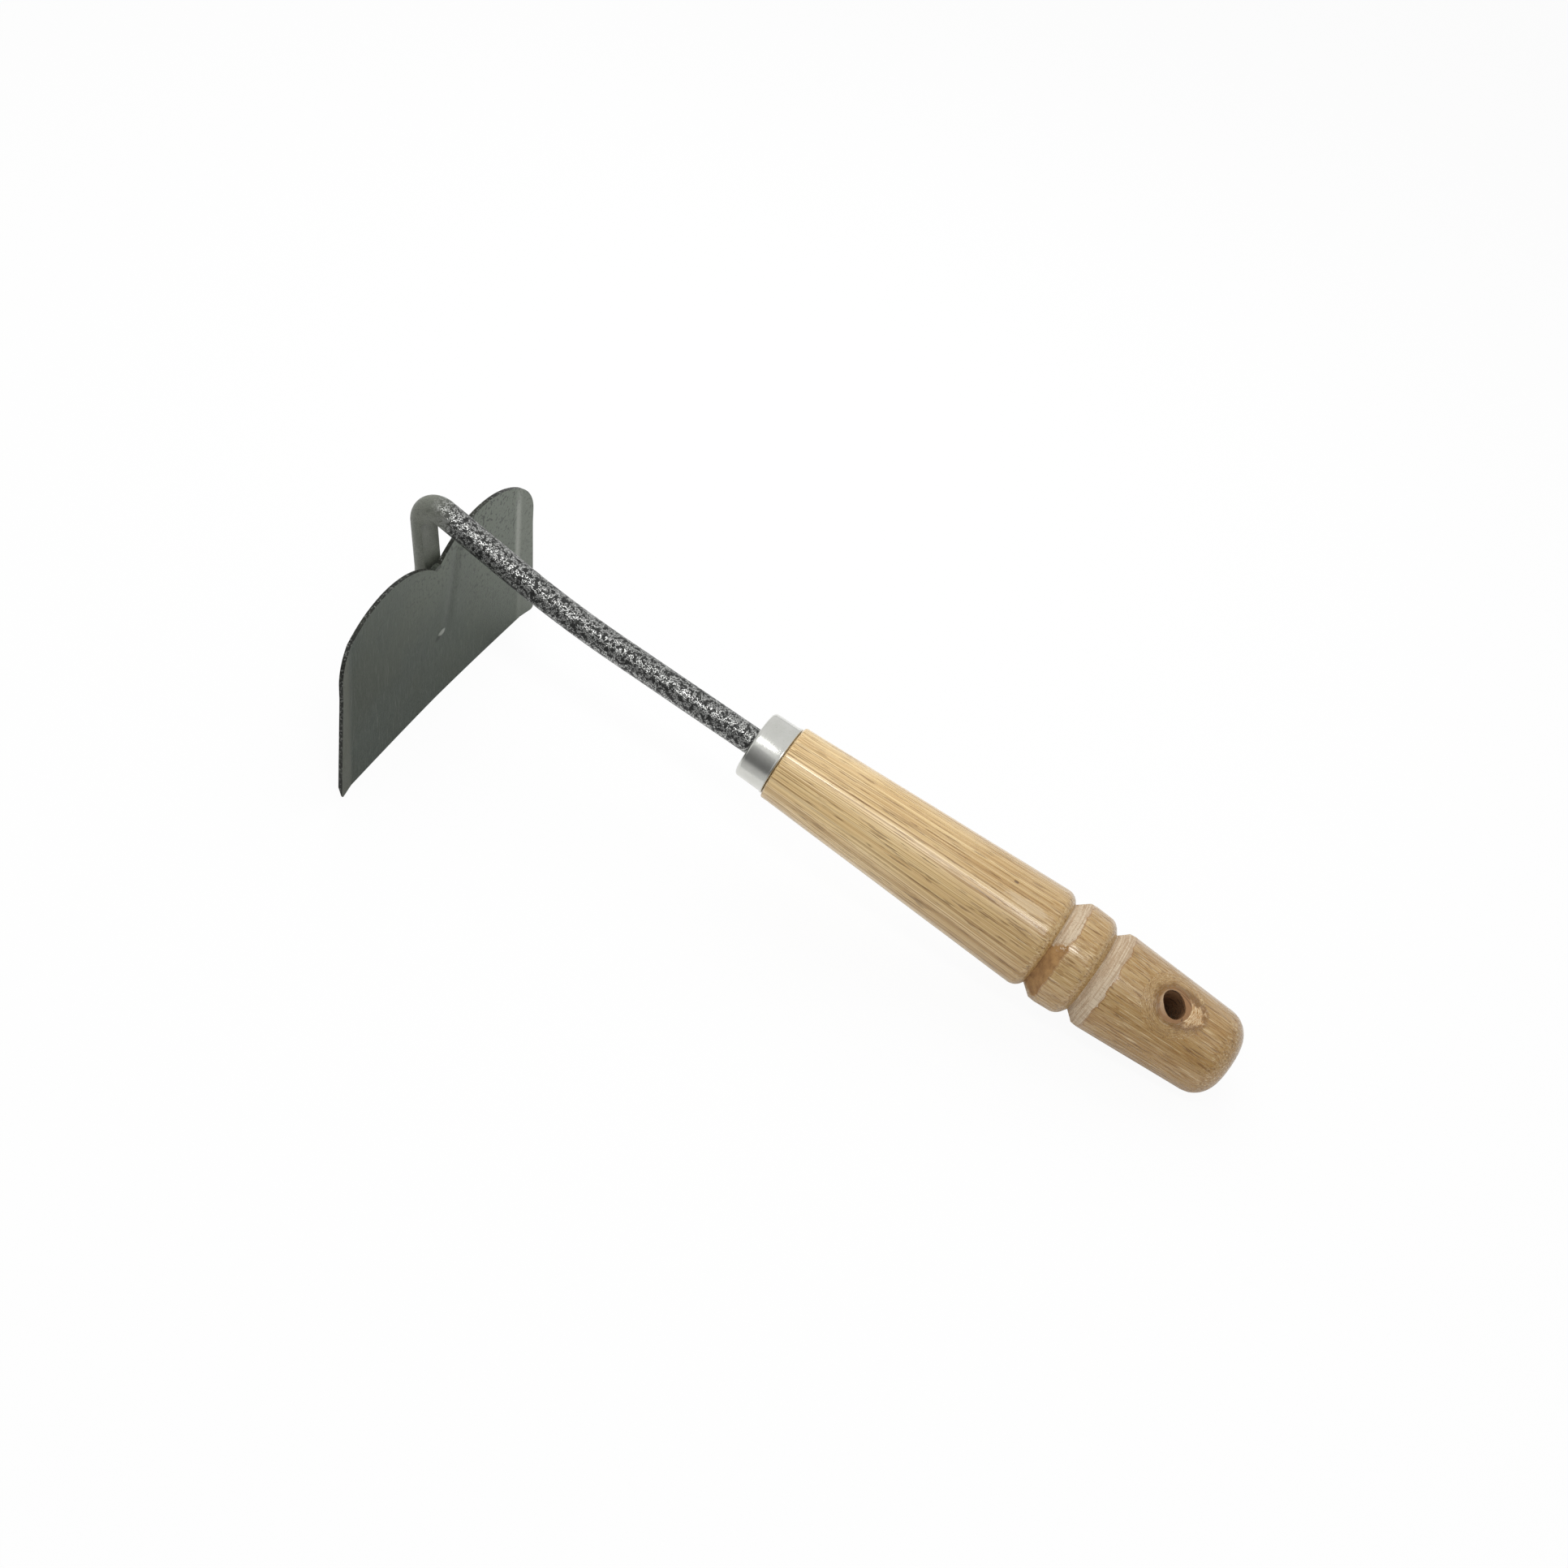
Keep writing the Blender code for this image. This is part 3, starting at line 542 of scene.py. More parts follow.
# %% The bore, and the varnish over it all
surface = arrow("LENGTH", put("ShaderNodeCombineXYZ", {1: along[1], 2: along[2]}).outputs[0])
bored = times(fade(from_hole, 5.6 * MM, 5.8 * MM), fade(surface, 15.6 * MM, 16.2 * MM))
pale_lip = fade(plus(from_hole, times(ring, 0.6 * MM)), 4.9 * MM, 5.8 * MM)
colour = glaze(colour, pale_lip, 0.55, (222, 198, 164))
colour = stain(bored, colour, stain(streaks, (150, 112, 76), (112, 82, 54)))
bare = larger(raw, larger(bored, times(chip["Blot"], 0.7)))

rough = plus(plus(0.26, times(marks["Cloud"], 0.08)), times(bare, 0.5))
dents = plus(times(fibres, 0.5), times(wide_grain, 0.6))
relief = times(plus(dents, pores), -1.0)
opened = larger(fibres, larger(wide_grain, fine_grain))
varnish = times(minus(0.9, times(opened, 0.75)), minus(1.0, bare))
finish_with(shader, relief, bump=0.7, reach=0.05 * MM, Base_Color=colour, Roughness=rough, Coat_Weight=varnish)
print("varnished wood has", len(handle_wood.node_tree.nodes), "nodes")

# %% [markdown]
# ## Turning the handle
#
# A lathe makes a solid of revolution, so the handle starts as a list of radii along the axis that is spun into
# a skin. A real lathe chatters, so each ring is a little out of round. The hanging hole is drilled at a slant
# with a Boolean cutter that opens the mouths a little one way, as a drill does that wanders.

# %% Helpers for turned and lofted skins
def arc(centre_x, centre_r, radius, start, end, steps):
    """Points on an arc in the turning plane, both ends included."""
    angles = [start + (end - start) * k / steps for k in range(steps + 1)]
    return [(centre_x + radius * cos(a), centre_r + radius * sin(a)) for a in angles]


def fill_in(profile, longest):
    """Split long straight runs of a profile into shorter ones."""
    filled = [profile[0]]
    for (x0, r0), (x1, r1) in zip(profile, profile[1:]):
        steps = max(1, round(sqrt((x1 - x0) ** 2 + (r1 - r0) ** 2) / longest))
        filled += [(x0 + (x1 - x0) * k / steps, r0 + (r1 - r0) * k / steps) for k in range(1, steps + 1)]
    return filled


def turned(profile, facets, uneven=None):
    """Spin a profile of (x, radius) about X; a radius of zero closes on the axis."""
    mesh_data = bmesh.new()
    rings = []
    for x, radius in profile:
        if radius <= 0.0:
            rings.append([mesh_data.verts.new((x, 0.0, 0.0))])
            continue
        ring = []
        for k in range(facets):
            angle = 2 * pi * k / facets
            dx, dr = uneven(x, radius, angle) if uneven else (0.0, 0.0)
            ring.append(mesh_data.verts.new((x + dx, (radius + dr) * cos(angle), (radius + dr) * sin(angle))))
        rings.append(ring)
    pairs = list(zip(rings, rings[1:]))
    if len(rings[0]) > 1 and len(rings[-1]) > 1:
        pairs.append((rings[-1], rings[0]))
    for first, second in pairs:
        for k in range(facets):
            corners = [first[k % len(first)], first[(k + 1) % len(first)],
                       second[(k + 1) % len(second)], second[k % len(second)]]
            mesh_data.faces.new(list(dict.fromkeys(corners)))
    return mesh_data


def loft(rings):
    """A closed skin over rings of equally many points, with a cap on each end."""
    mesh_data = bmesh.new()
    loops = [[mesh_data.verts.new(point) for point in ring] for ring in rings]
    count = len(loops[0])
    for first, second in zip(loops, loops[1:]):
        for k in range(count):
            mesh_data.faces.new((first[k], first[(k + 1) % count], second[(k + 1) % count], second[k]))
    mesh_data.faces.new(loops[0][::-1])
    mesh_data.faces.new(loops[-1])
    return mesh_data


# %% The handle's profile
ROD_RADIUS = 4.5 * MM
FIT_GAP = 0.3 * MM
BORE_RADIUS = ROD_RADIUS + FIT_GAP
TANG_LENGTH, TANG_TAPER_X = 75 * MM, 20 * MM
FERRULE_LENGTH, FERRULE_WALL = 10.6 * MM, 0.8 * MM
SPIGOT_INSET = FERRULE_WALL + FIT_GAP
SHOULDER_ROUND, BUTT_ROUND = 0.7 * MM, 9 * MM
FLANK_ONE, FLANK_TWO = 3.8 * MM, 3.3 * MM


def ferrule_radius(x):
    """The ferrule grows a little from its front to its back."""
    return 11.6 * MM + 0.3 * MM * x / FERRULE_LENGTH


def groove(floor_x, floor_radius, lip_radius, flank, flank_radius):
    """A rounded lip, a steep cut down to the floor and a long flank up again."""
    lip_round, slope = 4.4 * MM, radians(52.0)
    cut = (lip_radius - lip_round * (1 - cos(slope)) - floor_radius) / tan(slope)
    turn_x = floor_x - cut - lip_round * sin(slope)
    lip = arc(turn_x, lip_radius - lip_round, lip_round, pi / 2, pi / 2 - slope, 10)
    return [*lip, (floor_x - 0.12 * MM, floor_radius), (floor_x + 0.1 * MM, floor_radius),
            (floor_x + flank, flank_radius)]


wood_profile = [
    (TANG_LENGTH + FIT_GAP, 0.0), (TANG_LENGTH + FIT_GAP, 2.8 * MM), (TANG_TAPER_X, BORE_RADIUS),
    (SPIGOT_INSET, BORE_RADIUS), (SPIGOT_INSET, ferrule_radius(0) - SPIGOT_INSET),
    (SHOULDER_X, ferrule_radius(FERRULE_LENGTH) - SPIGOT_INSET),
    *arc(SHOULDER_X + SHOULDER_ROUND, 12.4 * MM, SHOULDER_ROUND, pi, pi / 2, 5),
    *groove(GROOVE_ONE_X, 14.75 * MM, GRIP_RADIUS, FLANK_ONE, 17.7 * MM),
    (GROOVE_ONE_X + 6.0 * MM, 17.9 * MM),
    *groove(GROOVE_TWO_X, 14.0 * MM, 17.6 * MM, FLANK_TWO, 16.7 * MM),
    (GROOVE_TWO_X + 5.3 * MM, 16.9 * MM),
    *arc(BUTT_X - BUTT_ROUND, 5.8 * MM, BUTT_ROUND, pi / 2, 0.0, 16),
    (BUTT_X, 0.0),
]
wood_profile = fill_in(wood_profile, 1.6 * MM)
print("handle profile", len(wood_profile), "rings")


# %% Spin the handle
def lathe_marks(x, radius, angle):
    """Small slow unevenness, more in the cut flanks than on the smooth grip."""
    if x < SHOULDER_X + 1 * MM or radius < 12 * MM or x > BUTT_X - 6 * MM:
        return 0.0, 0.0
    place = Vector((x * 45, cos(angle) * 1.3, sin(angle) * 1.3))
    slow_wave = -0.11 * MM * (0.5 + 0.5 * noise.noise(place))
    ragged = 0.0
    for flank_end in (GROOVE_ONE_X + FLANK_ONE, GROOVE_TWO_X + FLANK_TWO):
        near = exp(-((x - flank_end) / (0.8 * MM)) ** 2)
        ragged += near * 0.45 * MM * noise.noise(Vector((x * 300, cos(angle) * 5, sin(angle) * 5)))
    return ragged, slow_wave


handle = add_piece("turned_handle", turned(wood_profile, 160, lathe_marks), [handle_wood], "handle")

# %% Drill the hanging hole
DRILL_HALF = 24 * MM
MOUTH_TILT = radians(135.0)
half_drill = [(15.4 * MM, HOLE_RADIUS - 0.2 * MM), (MOUTH_REACH, HOLE_RADIUS), (DRILL_HALF, 4.6 * MM)]
drill_profile = [(-x, radius) for x, radius in reversed(half_drill)] + half_drill


def worn_mouth(x, radius, angle):
    """The drill wandered: the mouths are longer one way, and their edge is frayed."""
    near_mouth = min(max((abs(x) - 9 * MM) / (7 * MM), 0.0), 1.0)
    longer = 0.16 * cos(2 * (angle - MOUTH_TILT))
    frayed = 0.03 * noise.noise(Vector((cos(angle) * 2, sin(angle) * 2, 4.0)))
    return 0.0, radius * near_mouth * (longer + frayed)


drill_mesh = turned([(-DRILL_HALF, 0.0), *fill_in(drill_profile, 1.4 * MM), (DRILL_HALF, 0.0)], 72, worn_mouth)
drill_turn = Matrix.Translation((HOLE_X, 0.0, 0.0)) @ hole_way.to_track_quat("X", "Z").to_matrix().to_4x4()
drill_mesh.transform(hoe_to_world @ drill_turn)
bmesh.ops.recalc_face_normals(drill_mesh, faces=drill_mesh.faces)
drill = mesh_object("drill", drill_mesh)
drill.data.shade_smooth()
bore = handle.modifiers.new("hanging_hole", "BOOLEAN")
bore.operation = "DIFFERENCE"
bore.solver = "EXACT"
bore.object = drill
bpy.context.view_layer.update()
bored_mesh = bpy.data.meshes.new_from_object(handle.evaluated_get(bpy.context.evaluated_depsgraph_get()))
handle.modifiers.clear()
handle.data = bored_mesh
handle.data.set_sharp_from_angle(angle=SHARP_ANGLE)
bpy.data.objects.remove(drill, do_unlink=True)
print("drilled handle", len(bored_mesh.vertices), "points")

# %% [markdown]
# ## The ferrule
#
# A thin cup pressed over the front of the wood. Its front corner is rounded by the press, and its back edge
# is rolled out a hair, so that a bright line runs round it where it meets the wood.

# %% Turn the ferrule
FRONT_ROUND = 1.3 * MM
front_rim = arc(FRONT_ROUND, ferrule_radius(0) - FRONT_ROUND, FRONT_ROUND, pi, pi / 2, 9)
back_lip = arc(10.1 * MM, ferrule_radius(FERRULE_LENGTH) - 0.28 * MM, 0.5 * MM, pi * 0.7, 0.0, 8)
ferrule_profile = [(FERRULE_WALL, BORE_RADIUS), (0.0, BORE_RADIUS), *front_rim,
                   (9.4 * MM, ferrule_radius(9.4 * MM) - 0.06 * MM), *back_lip,
                   (10.55 * MM, ferrule_radius(FERRULE_LENGTH) - FERRULE_WALL),
                   (FERRULE_WALL, ferrule_radius(0) - FERRULE_WALL)]
add_piece("pressed_ferrule", turned(ferrule_profile, 144), [bright_steel], "ferrule",
          sharp=radians(50.0))

# %% [markdown]
# ## The neck
#
# One round rod is bent in two gentle curves and then sharply back on itself. Its free end is pressed flat on
# the inner side, to lie against the blade. The rod is a loft: a cross-section carried along a path. The path
# is walked in straight runs and bends, and the section goes from a circle to a circle with one flat side.


# %% Walk the neck's path
def walk_neck():
    """Stations of (x, z, heading, flatness) from the ferrule to the strap's end."""
    x, z, heading = 0.0, 0.0, 0.0
    stations = [(x, z, heading, 0.0)]

    def run(length, steps, flatness):
        nonlocal x, z
        for _ in range(steps):
            x -= cos(heading) * length / steps
            z += sin(heading) * length / steps
            stations.append((x, z, heading, flatness))

    def bend(radius, angle, steps, flatness):
        nonlocal x, z, heading
        side = radius if angle > 0 else -radius
        for k in range(1, steps + 1):
            before = heading
            heading += angle / steps
            x += (sin(before) - sin(heading)) * side
            z += (cos(before) - cos(heading)) * side
            stations.append((x, z, heading, flatness(k / steps)))

    def press(share):
        pressed = max(share - 0.45, 0.0) / 0.55
        return pressed * pressed * (3 - 2 * pressed)

    run(53.5 * MM, 40, 0.0)
    bend(290 * MM, radians(8.0), 24, lambda share: 0.0)
    run(29.0 * MM, 22, 0.0)
    bend(5.3 * MM, -radians(8.0 + 90.0 + 21.0), 40, press)
    run(17.0 * MM, 16, 1.0)
    bend(25 * MM, radians(5.0), 5, lambda share: 1.0)
    run(28.5 * MM, 20, 1.0)
    return stations


neck_path = walk_neck()
strap_end = Vector((neck_path[-1][0], 0.0, neck_path[-1][1]))
print("neck stations", len(neck_path), "strap ends at", [round(v / MM, 1) for v in strap_end])

# %% Loft the neck
STRAP_FLAT, STRAP_HOLLOW = 1.6 * MM, 1.3 * MM
STRAP_SPREAD = 1.08


def rod_section(flatness):
    """A circle with one flat side, as points (across, outwards); the pressed flat is hollow."""
    flat = ROD_RADIUS + (STRAP_FLAT - ROD_RADIUS) * flatness
    dip = asin(min(flat / ROD_RADIUS, 1.0))
    spread = 1 + (STRAP_SPREAD - 1) * flatness
    rim = [(ROD_RADIUS * cos(a) * spread, ROD_RADIUS * sin(a))
           for a in (-dip + (pi + 2 * dip) * k / 47 for k in range(48))]
    left, right = rim[-1], rim[0]
    hollow = STRAP_HOLLOW * min(max((flatness - 0.7) / 0.3, 0.0), 1.0)
    pressed = []
    for share in (k / 12 for k in range(1, 12)):
        pressed.append((left[0] + (right[0] - left[0]) * share,
                        left[1] + (right[1] - left[1]) * share + hollow * sin(pi * share) ** 0.6))
    return rim + pressed


def neck_ring(x, z, heading, flatness):
    """One ring of the neck, square to its path."""
    outwards = Vector((sin(heading), 0.0, cos(heading)))
    return [Vector((x, across, z)) + outwards * out for across, out in rod_section(flatness)]


tang = [[Vector((depth, across * share, out * share)) for across, out in rod_section(0.0)]
        for depth, share in ((TANG_LENGTH, 0.56), (TANG_TAPER_X, 1.0))]
add_piece("bent_neck", loft(tang + [neck_ring(*station) for station in neck_path]), [rod_paint], "neck_rod")

# %% [markdown]
# ## The blade
#
# The blade is stamped from sheet and pressed to a shallow dish, with a narrow band along each side bent
# further forward. It is built as a grid of points, columns across and rows up, on the front and on the back,
# with a small round along every cut edge. The cutting edge is ground thin from the back. The notch between the
# lobes sits in front of the strap.

# %% The blade's own frame
BLADE_LEAN = radians(16.0)
PLATE = 1.5 * MM
DISH = 2.2 * MM
EDGE_HALF, SIDE_HALF, SIDE_HEIGHT = 59.3 * MM, 56.8 * MM, 40.0 * MM
LOBE_RADIUS, LOBE_Y, LOBE_HEIGHT = 42.0 * MM, 27.5 * MM, 64.2 * MM
CORNER_RADIUS, NOTCH_RADIUS = 14.0 * MM, 1.0 * MM
BAND_FROM, BAND_RISE = 0.883, 1.2 * MM
blade_up = Vector((-sin(BLADE_LEAN), 0.0, cos(BLADE_LEAN)))
blade_front = Vector((0.0, 1.0, 0.0)).cross(blade_up)


def lobe_height(y):
    """The lobe's own circle."""
    return LOBE_HEIGHT - LOBE_RADIUS + sqrt(max(LOBE_RADIUS ** 2 - (abs(y) - LOBE_Y) ** 2, 0.0))


STRAP_END_H = lobe_height(0.0) - 28.5 * MM
edge_middle = (strap_end + blade_front * STRAP_FLAT - blade_up * STRAP_END_H
               + blade_front * (FIT_GAP + PLATE + DISH))
blade_frame = Matrix((
    (0.0, blade_up.x, blade_front.x, edge_middle.x),
    (1.0, blade_up.y, blade_front.y, edge_middle.y),
    (0.0, blade_up.z, blade_front.z, edge_middle.z),
    (0.0, 0.0, 0.0, 1.0)))
print("cutting edge at", [round(v / MM, 1) for v in hoe_to_world @ edge_middle], "mm")


# %% The blade's outline and dish
def top_height(y):
    """The upper outline: a small round in the notch, the lobe and a round outer corner."""
    y = abs(y)
    slope = asin(LOBE_Y / LOBE_RADIUS)
    if y < NOTCH_RADIUS * sin(slope):
        foot = lobe_height(NOTCH_RADIUS * sin(slope)) + NOTCH_RADIUS * cos(slope)
        return foot - sqrt(NOTCH_RADIUS ** 2 - y ** 2)
    corner_y, reach = SIDE_HALF - CORNER_RADIUS, LOBE_RADIUS - CORNER_RADIUS
    corner_h = LOBE_HEIGHT - LOBE_RADIUS + sqrt(reach ** 2 - (corner_y - LOBE_Y) ** 2)
    if y <= LOBE_Y + (corner_y - LOBE_Y) * LOBE_RADIUS / reach:
        return lobe_height(y)
    return corner_h + sqrt(max(CORNER_RADIUS ** 2 - (min(y, SIDE_HALF) - corner_y) ** 2, 0.0))


def half_width(h):
    """The half width, which narrows from the cutting edge to the corners."""
    return EDGE_HALF + (SIDE_HALF - EDGE_HALF) * min(h / SIDE_HEIGHT, 1.0)


def dish(y, h):
    """How far the sheet lies behind its side edges: a shallow dish between two bands bent forward."""
    share = min(abs(y) / half_width(h), 1.0)
    if share > BAND_FROM:
        return BAND_RISE * (1 - share) / (1 - BAND_FROM)
    return BAND_RISE + (DISH - BAND_RISE) * (1 - (share / BAND_FROM) ** 1.5)


def print_through(y, h):
    """The end weld's heat drew a small crooked mark on the front, and the strap left a faint print."""
    mark = exp(-((y - 1.9 * MM) / (1.5 * MM)) ** 2 - ((h - 26.0 * MM - 0.35 * (y - 1.9 * MM)) / (0.8 * MM)) ** 2)
    print_edge = exp(-((y - (6.2 * MM + 0.19 * (h - 27 * MM))) / (2.4 * MM)) ** 2)
    reach = min(max((h - 24 * MM) / (8 * MM), 0.0), 1.0)
    return 0.3 * MM * mark - 0.26 * MM * print_edge * reach


# %% Press the blade
FLAT_COLUMNS, BAND_COLUMNS, ROWS = 120, 16, 56
GROUND_EDGE, GROUND_HEIGHT, END_ROUND = 0.4 * MM, 3.0 * MM, 1.5 * MM
ground_up = Vector((-sin(HOE_TURN), 0.0, cos(HOE_TURN)))
trim_share = ground_up.dot(blade_front) / ground_up.dot(blade_up)


def plate_depth(h, bottom):
    """The sheet's thickness, ground thin behind the cutting edge."""
    return GROUND_EDGE + (PLATE - GROUND_EDGE) * min((h - bottom) / GROUND_HEIGHT, 1.0)


def column_shares():
    """Where the columns stand, from side to side: one runs along each crease, close ones in the bands."""
    flat = [BAND_FROM * (2 * k / FLAT_COLUMNS - 1) for k in range(FLAT_COLUMNS + 1)]
    band = [BAND_FROM + (1 - BAND_FROM) * sin(pi / 2 * k / BAND_COLUMNS) for k in range(1, BAND_COLUMNS + 1)]
    return [-share for share in reversed(band)] + flat + band


def blade_grid():
    """Front and back points by column and row."""
    fronts, backs = [], []
    for share in column_shares():
        top = top_height(share * SIDE_HALF)
        edge_y = share * EDGE_HALF
        over = max(abs(edge_y) - (EDGE_HALF - END_ROUND), 0.0)
        bottom = END_ROUND - sqrt(max(END_ROUND ** 2 - over ** 2, 0.0)) + dish(edge_y, 0.0) * trim_share
        ground = bottom + GROUND_HEIGHT
        heights = [bottom, bottom + 1.0 * MM, ground]
        heights += [ground + (top - ground) * (j / (ROWS - 3)) for j in range(1, ROWS - 2)]
        front, back = [], []
        for h in heights:
            y = share * half_width(h)
            depth = plate_depth(h, bottom)
            bent = -dish(y, h) - 0.03 * MM * (1 + noise.noise(Vector((y * 90, h * 90, 7.0))))
            front.append(Vector((y, h, bent + print_through(y, h))))
            back.append(Vector((y, h, bent - depth)))
        fronts.append(front)
        backs.append(back)
    return fronts, backs


fronts, backs = blade_grid()
sheet = bmesh.new()
front = [[sheet.verts.new(p) for p in column] for column in fronts]
back = [[sheet.verts.new(p) for p in column] for column in backs]
last = len(front[0]) - 1
for k in range(len(front) - 1):
    for j in range(last):
        sheet.faces.new((front[k][j], front[k + 1][j], front[k + 1][j + 1], front[k][j + 1]))
        sheet.faces.new((back[k][j + 1], back[k + 1][j + 1], back[k + 1][j], back[k][j]))
    sheet.faces.new((front[k][last], front[k + 1][last], back[k + 1][last], back[k][last])).material_index = 1
    sheet.faces.new((back[k][0], back[k + 1][0], front[k + 1][0], front[k][0]))
for k in (0, -1):
    for j in range(last):
        sheet.faces.new((front[k][j], front[k][j + 1], back[k][j + 1], back[k][j])).material_index = 1
blade = add_piece("pressed_blade", sheet, [sheet_paint, rim_paint], "blade", blade_frame)
rim = blade.modifiers.new("cut_edges", "BEVEL")
rim.width = 0.35 * MM
rim.segments = 2
rim.limit_method = "ANGLE"
rim.angle_limit = radians(50.0)
rim.material = 1

# %% [markdown]
# ## The welds
#
# A fillet bead runs down each side of the strap on the back of the blade, a short one closes the strap's end,
# and a blob fills the notch. A weld is laid drop by drop, so its surface has ripples across its length.


# %% Lay the beads
BEAD_LEG, BEAD_GAP = 2.7 * MM, 0.05 * MM


def on_back(y, h, out):
    """A point behind the blade, in the blade's frame."""
    return Vector((y, h, -dish(y, h) - PLATE - out))


def bead_size(share):
    """Full in the middle, tapering at both ends."""
    return 0.5 + 0.5 * sin(pi * min(max(share, 0.06), 0.94)) ** 0.4


def ripple(share, count):
    """The drops of a bead."""
    return 1.0 + 0.1 * abs(sin(pi * share * count))


def side_bead(side):
    """A bead beside the strap, from its end up to the notch."""
    rings = []
    for k in range(49):
        share = k / 48
        leg = BEAD_LEG * bead_size(share) * ripple(share, 11)
        h = STRAP_END_H + (2.2 + 26.5 * share) * MM
        reach = ROD_RADIUS + 0.1 * MM
        low = asin(-STRAP_FLAT / reach)
        high = asin((leg - STRAP_FLAT) / reach)
        wall = [(reach * cos(a) * STRAP_SPREAD, STRAP_FLAT + reach * sin(a))
                for a in (low + (high - low) * i / 5 for i in range(6))]
        run = Vector((wall[0][0] + leg, 0.0)) - Vector(wall[-1])
        left = Vector((-run.y, run.x)).normalized()
        crown = [Vector(wall[-1]) + run * i / 8 + left * 0.45 * MM * sin(pi * i / 8) for i in range(1, 9)]
        rings.append([on_back(side * y, h, BEAD_GAP + out) for y, out in wall + crown])
    return loft(rings)


def end_bead():
    """A bead across the strap's end."""
    rings = []
    for k in range(25):
        share = k / 24
        leg = BEAD_LEG * bead_size(share) * ripple(share, 4)
        points = [Vector((0.0, leg)) + (Vector((leg, 0.0)) - Vector((0.0, leg))) * i / 8
                  + Vector((1.0, 1.0)) * 0.3 * MM * sin(pi * i / 8) for i in range(9)]
        y = (share - 0.5) * 7.0 * MM
        rings.append([on_back(y, STRAP_END_H - 0.1 * MM - p.x, BEAD_GAP + p.y)
                      for p in (Vector((0.0, 0.0)), *points)])
    return loft(rings)


def notch_bead():
    """A blob in the bottom of the notch."""
    half, proud = 1.9 * MM, 0.2 * MM
    crest = top_height(0.0) + 1.4 * MM
    low = [(half * (i / 8 - 1), top_height(half * (i / 8 - 1)) + BEAD_GAP) for i in range(17)]
    high = [(half * (1 - i / 8), crest + 0.5 * MM * (1 - (1 - i / 8) ** 2)) for i in range(1, 16)]
    return loft([[Vector((y, h, -dish(y, h) + proud - (PLATE + proud) * k / 12)) for y, h in low + high]
                 for k in range(13)])


beads = {"left": side_bead(1), "right": side_bead(-1), "end": end_bead(), "notch": notch_bead()}
for place, bead in beads.items():
    add_piece("bead_" + place, bead, [weld_paint], "weld_" + place, blade_frame, radians(60.0))

# %% [markdown]
# ## Floor, light and camera
#
# The photograph shows the hoe on pure white. The floor keeps a faint shadow: for camera rays it is mostly its
# own plain white, and the rest is lit. Glossy rays see less of the plain white, so what steel and paint mirror
# near the hoe is shaded too. A broad lamp stands on the far side near the head, so the light falls off towards
# the butt. A long thin one draws the line of light on the varnish and the rod. A dark card lies and then stands
# on the near side, as photographers place one to give round steel its dark stripe: only mirrored rays see it,
# and it is paler near the hoe and towards its top.

# %% The floor
WHITE = (1.0, 1.0, 1.0, 1.0)
floor_finish, shader, spot = new_finish("pale_floor", Matrix.Identity(4), Roughness=0.9,
                                        Base_Color=(0.86, 0.86, 0.86, 1.0))
tree = floor_finish.node_tree
seen = tree.nodes.new("ShaderNodeLightPath").outputs
mirrored = larger(seen["Is Glossy Ray"], seen["Is Transmission Ray"])
plain = larger(times(seen["Is Camera Ray"], 0.94), times(mirrored, 0.15))
glow = tree.nodes.new("ShaderNodeEmission").outputs[0]
mixed = put("ShaderNodeMixShader", {0: plain, 1: shader.outputs[0], 2: glow})
give(tree.nodes["Material Output"].inputs, Surface=mixed.outputs[0])
floor_data = bmesh.new()
bmesh.ops.create_circle(floor_data, cap_ends=True, segments=96, radius=4.0)
floor = mesh_object("floor", floor_data, [floor_finish])
floor.location = (0.0, 0.0, -0.2 * MM)
print("floor", [round(side, 1) for side in floor.dimensions], "m")

# %% The studio
studio = bpy.data.worlds.new("studio")
bpy.context.scene.world = studio
studio.use_nodes = True
tree = studio.node_tree
tree.nodes.clear()
seen = tree.nodes.new("ShaderNodeLightPath").outputs
plain = larger(seen["Is Camera Ray"], seen["Is Transmission Ray"])
plain = larger(plain, times(seen["Is Glossy Ray"], 0.8))
ambient = put("ShaderNodeBackground", {0: WHITE, 1: larger(plain, 0.48)}).outputs[0]
put("ShaderNodeOutputWorld", {0: ambient})


def softbox(name, place, aim, width, length, power, along=(0.0, 0.0, 1.0), mirrored=True):
    """An area lamp that looks at a point, with its long side along a given direction."""
    data = bpy.data.lights.new(name, "AREA")
    data.shape = "RECTANGLE"
    data.size, data.size_y = width, length
    data.energy = power
    lamp = add_object(name, data)
    away = (Vector(place) - Vector(aim)).normalized()
    up = Vector(along)
    up = (up - away * up.dot(away)).normalized()
    side = up.cross(away)
    lamp.matrix_world = Matrix.Translation(place) @ Matrix((side, up, away)).transposed().to_4x4()
    lamp.visible_camera = False
    lamp.visible_glossy = mirrored
    print("lamp", name)


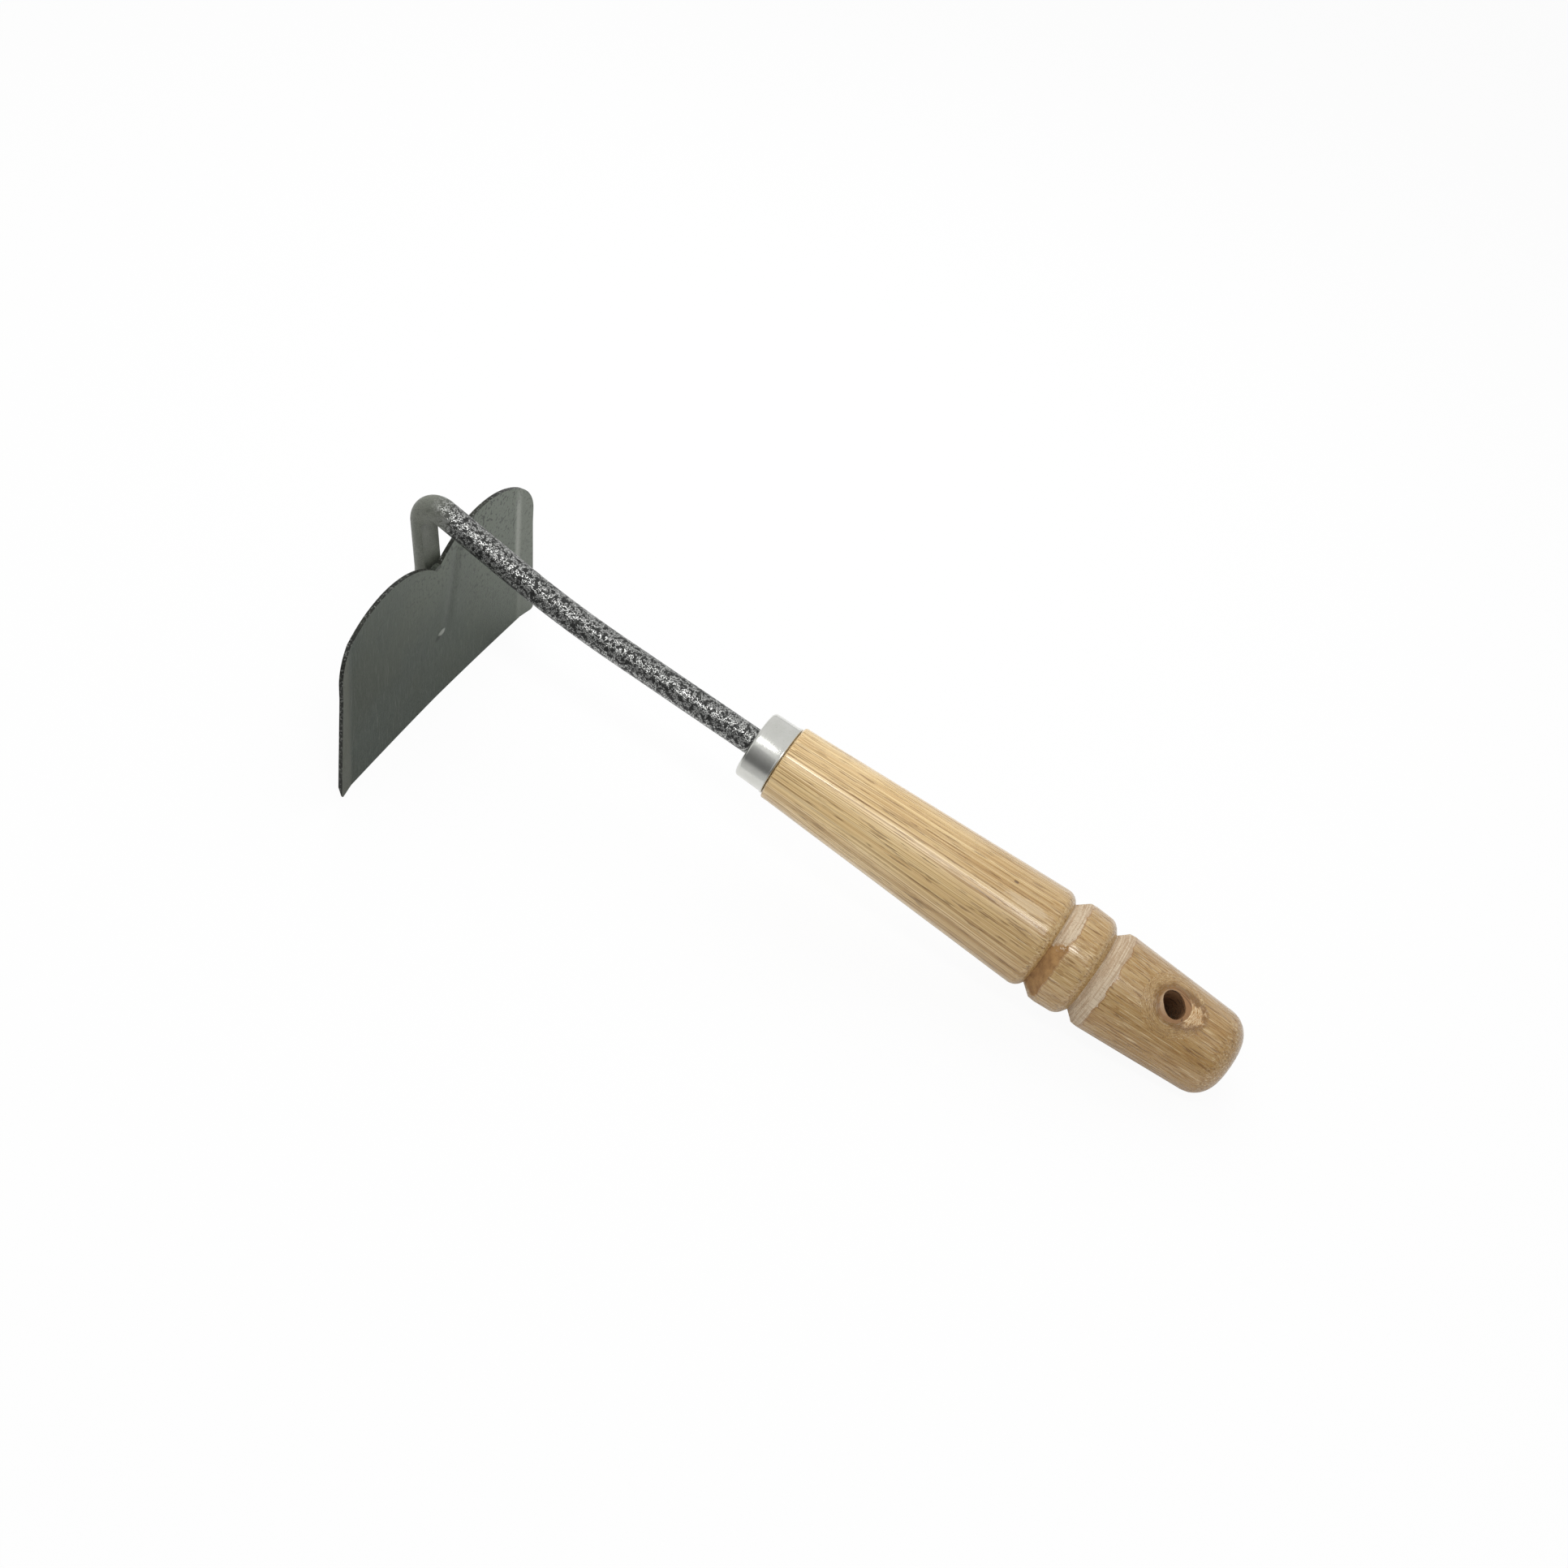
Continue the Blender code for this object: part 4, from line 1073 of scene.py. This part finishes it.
handle_way = hoe_to_world.to_3x3() @ Vector((1.0, 0.0, 0.0))
softbox("far_key", (-0.14, 0.27, 0.47), (-0.02, 0.0, 0.03), 0.5, 0.5, 1.9, mirrored=False)
softbox("grip_strip", (0.06, -0.35, 0.735), (-0.04, 0.0, 0.05), 0.085, 0.6, 1.9, handle_way)

# %% The dark card
CARD_HALF, CARD_LIFT = 1.6, 0.5 * MM
card_finish, shader, spot = new_finish("dark_card", Matrix.Identity(4))
place = put("ShaderNodeSeparateXYZ", {0: spot}).outputs
lying = carry(place[1], -0.26, -0.05, 0.17, 0.62)
standing = carry(place[2], 0.0, 1.5, 0.0, 0.4)
glow = put("ShaderNodeEmission", {"Color": WHITE, "Strength": plus(lying, standing)}).outputs[0]
give(card_finish.node_tree.nodes["Material Output"].inputs, Surface=glow)
card_data = bmesh.new()
bends = [[card_data.verts.new((x, y, z)) for x in (-CARD_HALF, CARD_HALF)]
         for y, z in ((-0.05, CARD_LIFT), (-1.2, CARD_LIFT), (-1.2, 1.15))]
for near, far in zip(bends, bends[1:]):
    card_data.faces.new((near[0], near[1], far[1], far[0]))
card = mesh_object("dark_card", card_data, [card_finish])
card.visible_camera = False
card.visible_diffuse = False
card.visible_transmission = False
card.visible_shadow = False
print("card", [round(side, 2) for side in card.dimensions], "m")

# %% The camera
CAMERA_PLACE = Vector((0.131534, -0.486288, 0.532715))
CAMERA_AIM = Vector((-0.010433, 0.0, 0.036827))
CAMERA_ROLL = radians(14.917)
camera_data = bpy.data.cameras.new("camera")
camera_data.lens = 51.0
camera_data.sensor_width = 36.0
camera = add_object("camera", camera_data)
straight = (CAMERA_AIM - CAMERA_PLACE).to_track_quat("-Z", "Y")
camera.rotation_mode = "QUATERNION"
camera.rotation_quaternion = straight @ Quaternion((0.0, 0.0, 1.0), CAMERA_ROLL)
camera.location = CAMERA_PLACE
bpy.context.scene.camera = camera
bpy.context.scene.view_settings.view_transform = "Standard"
print("camera", round((CAMERA_AIM - CAMERA_PLACE).length, 3), "m from the hoe")
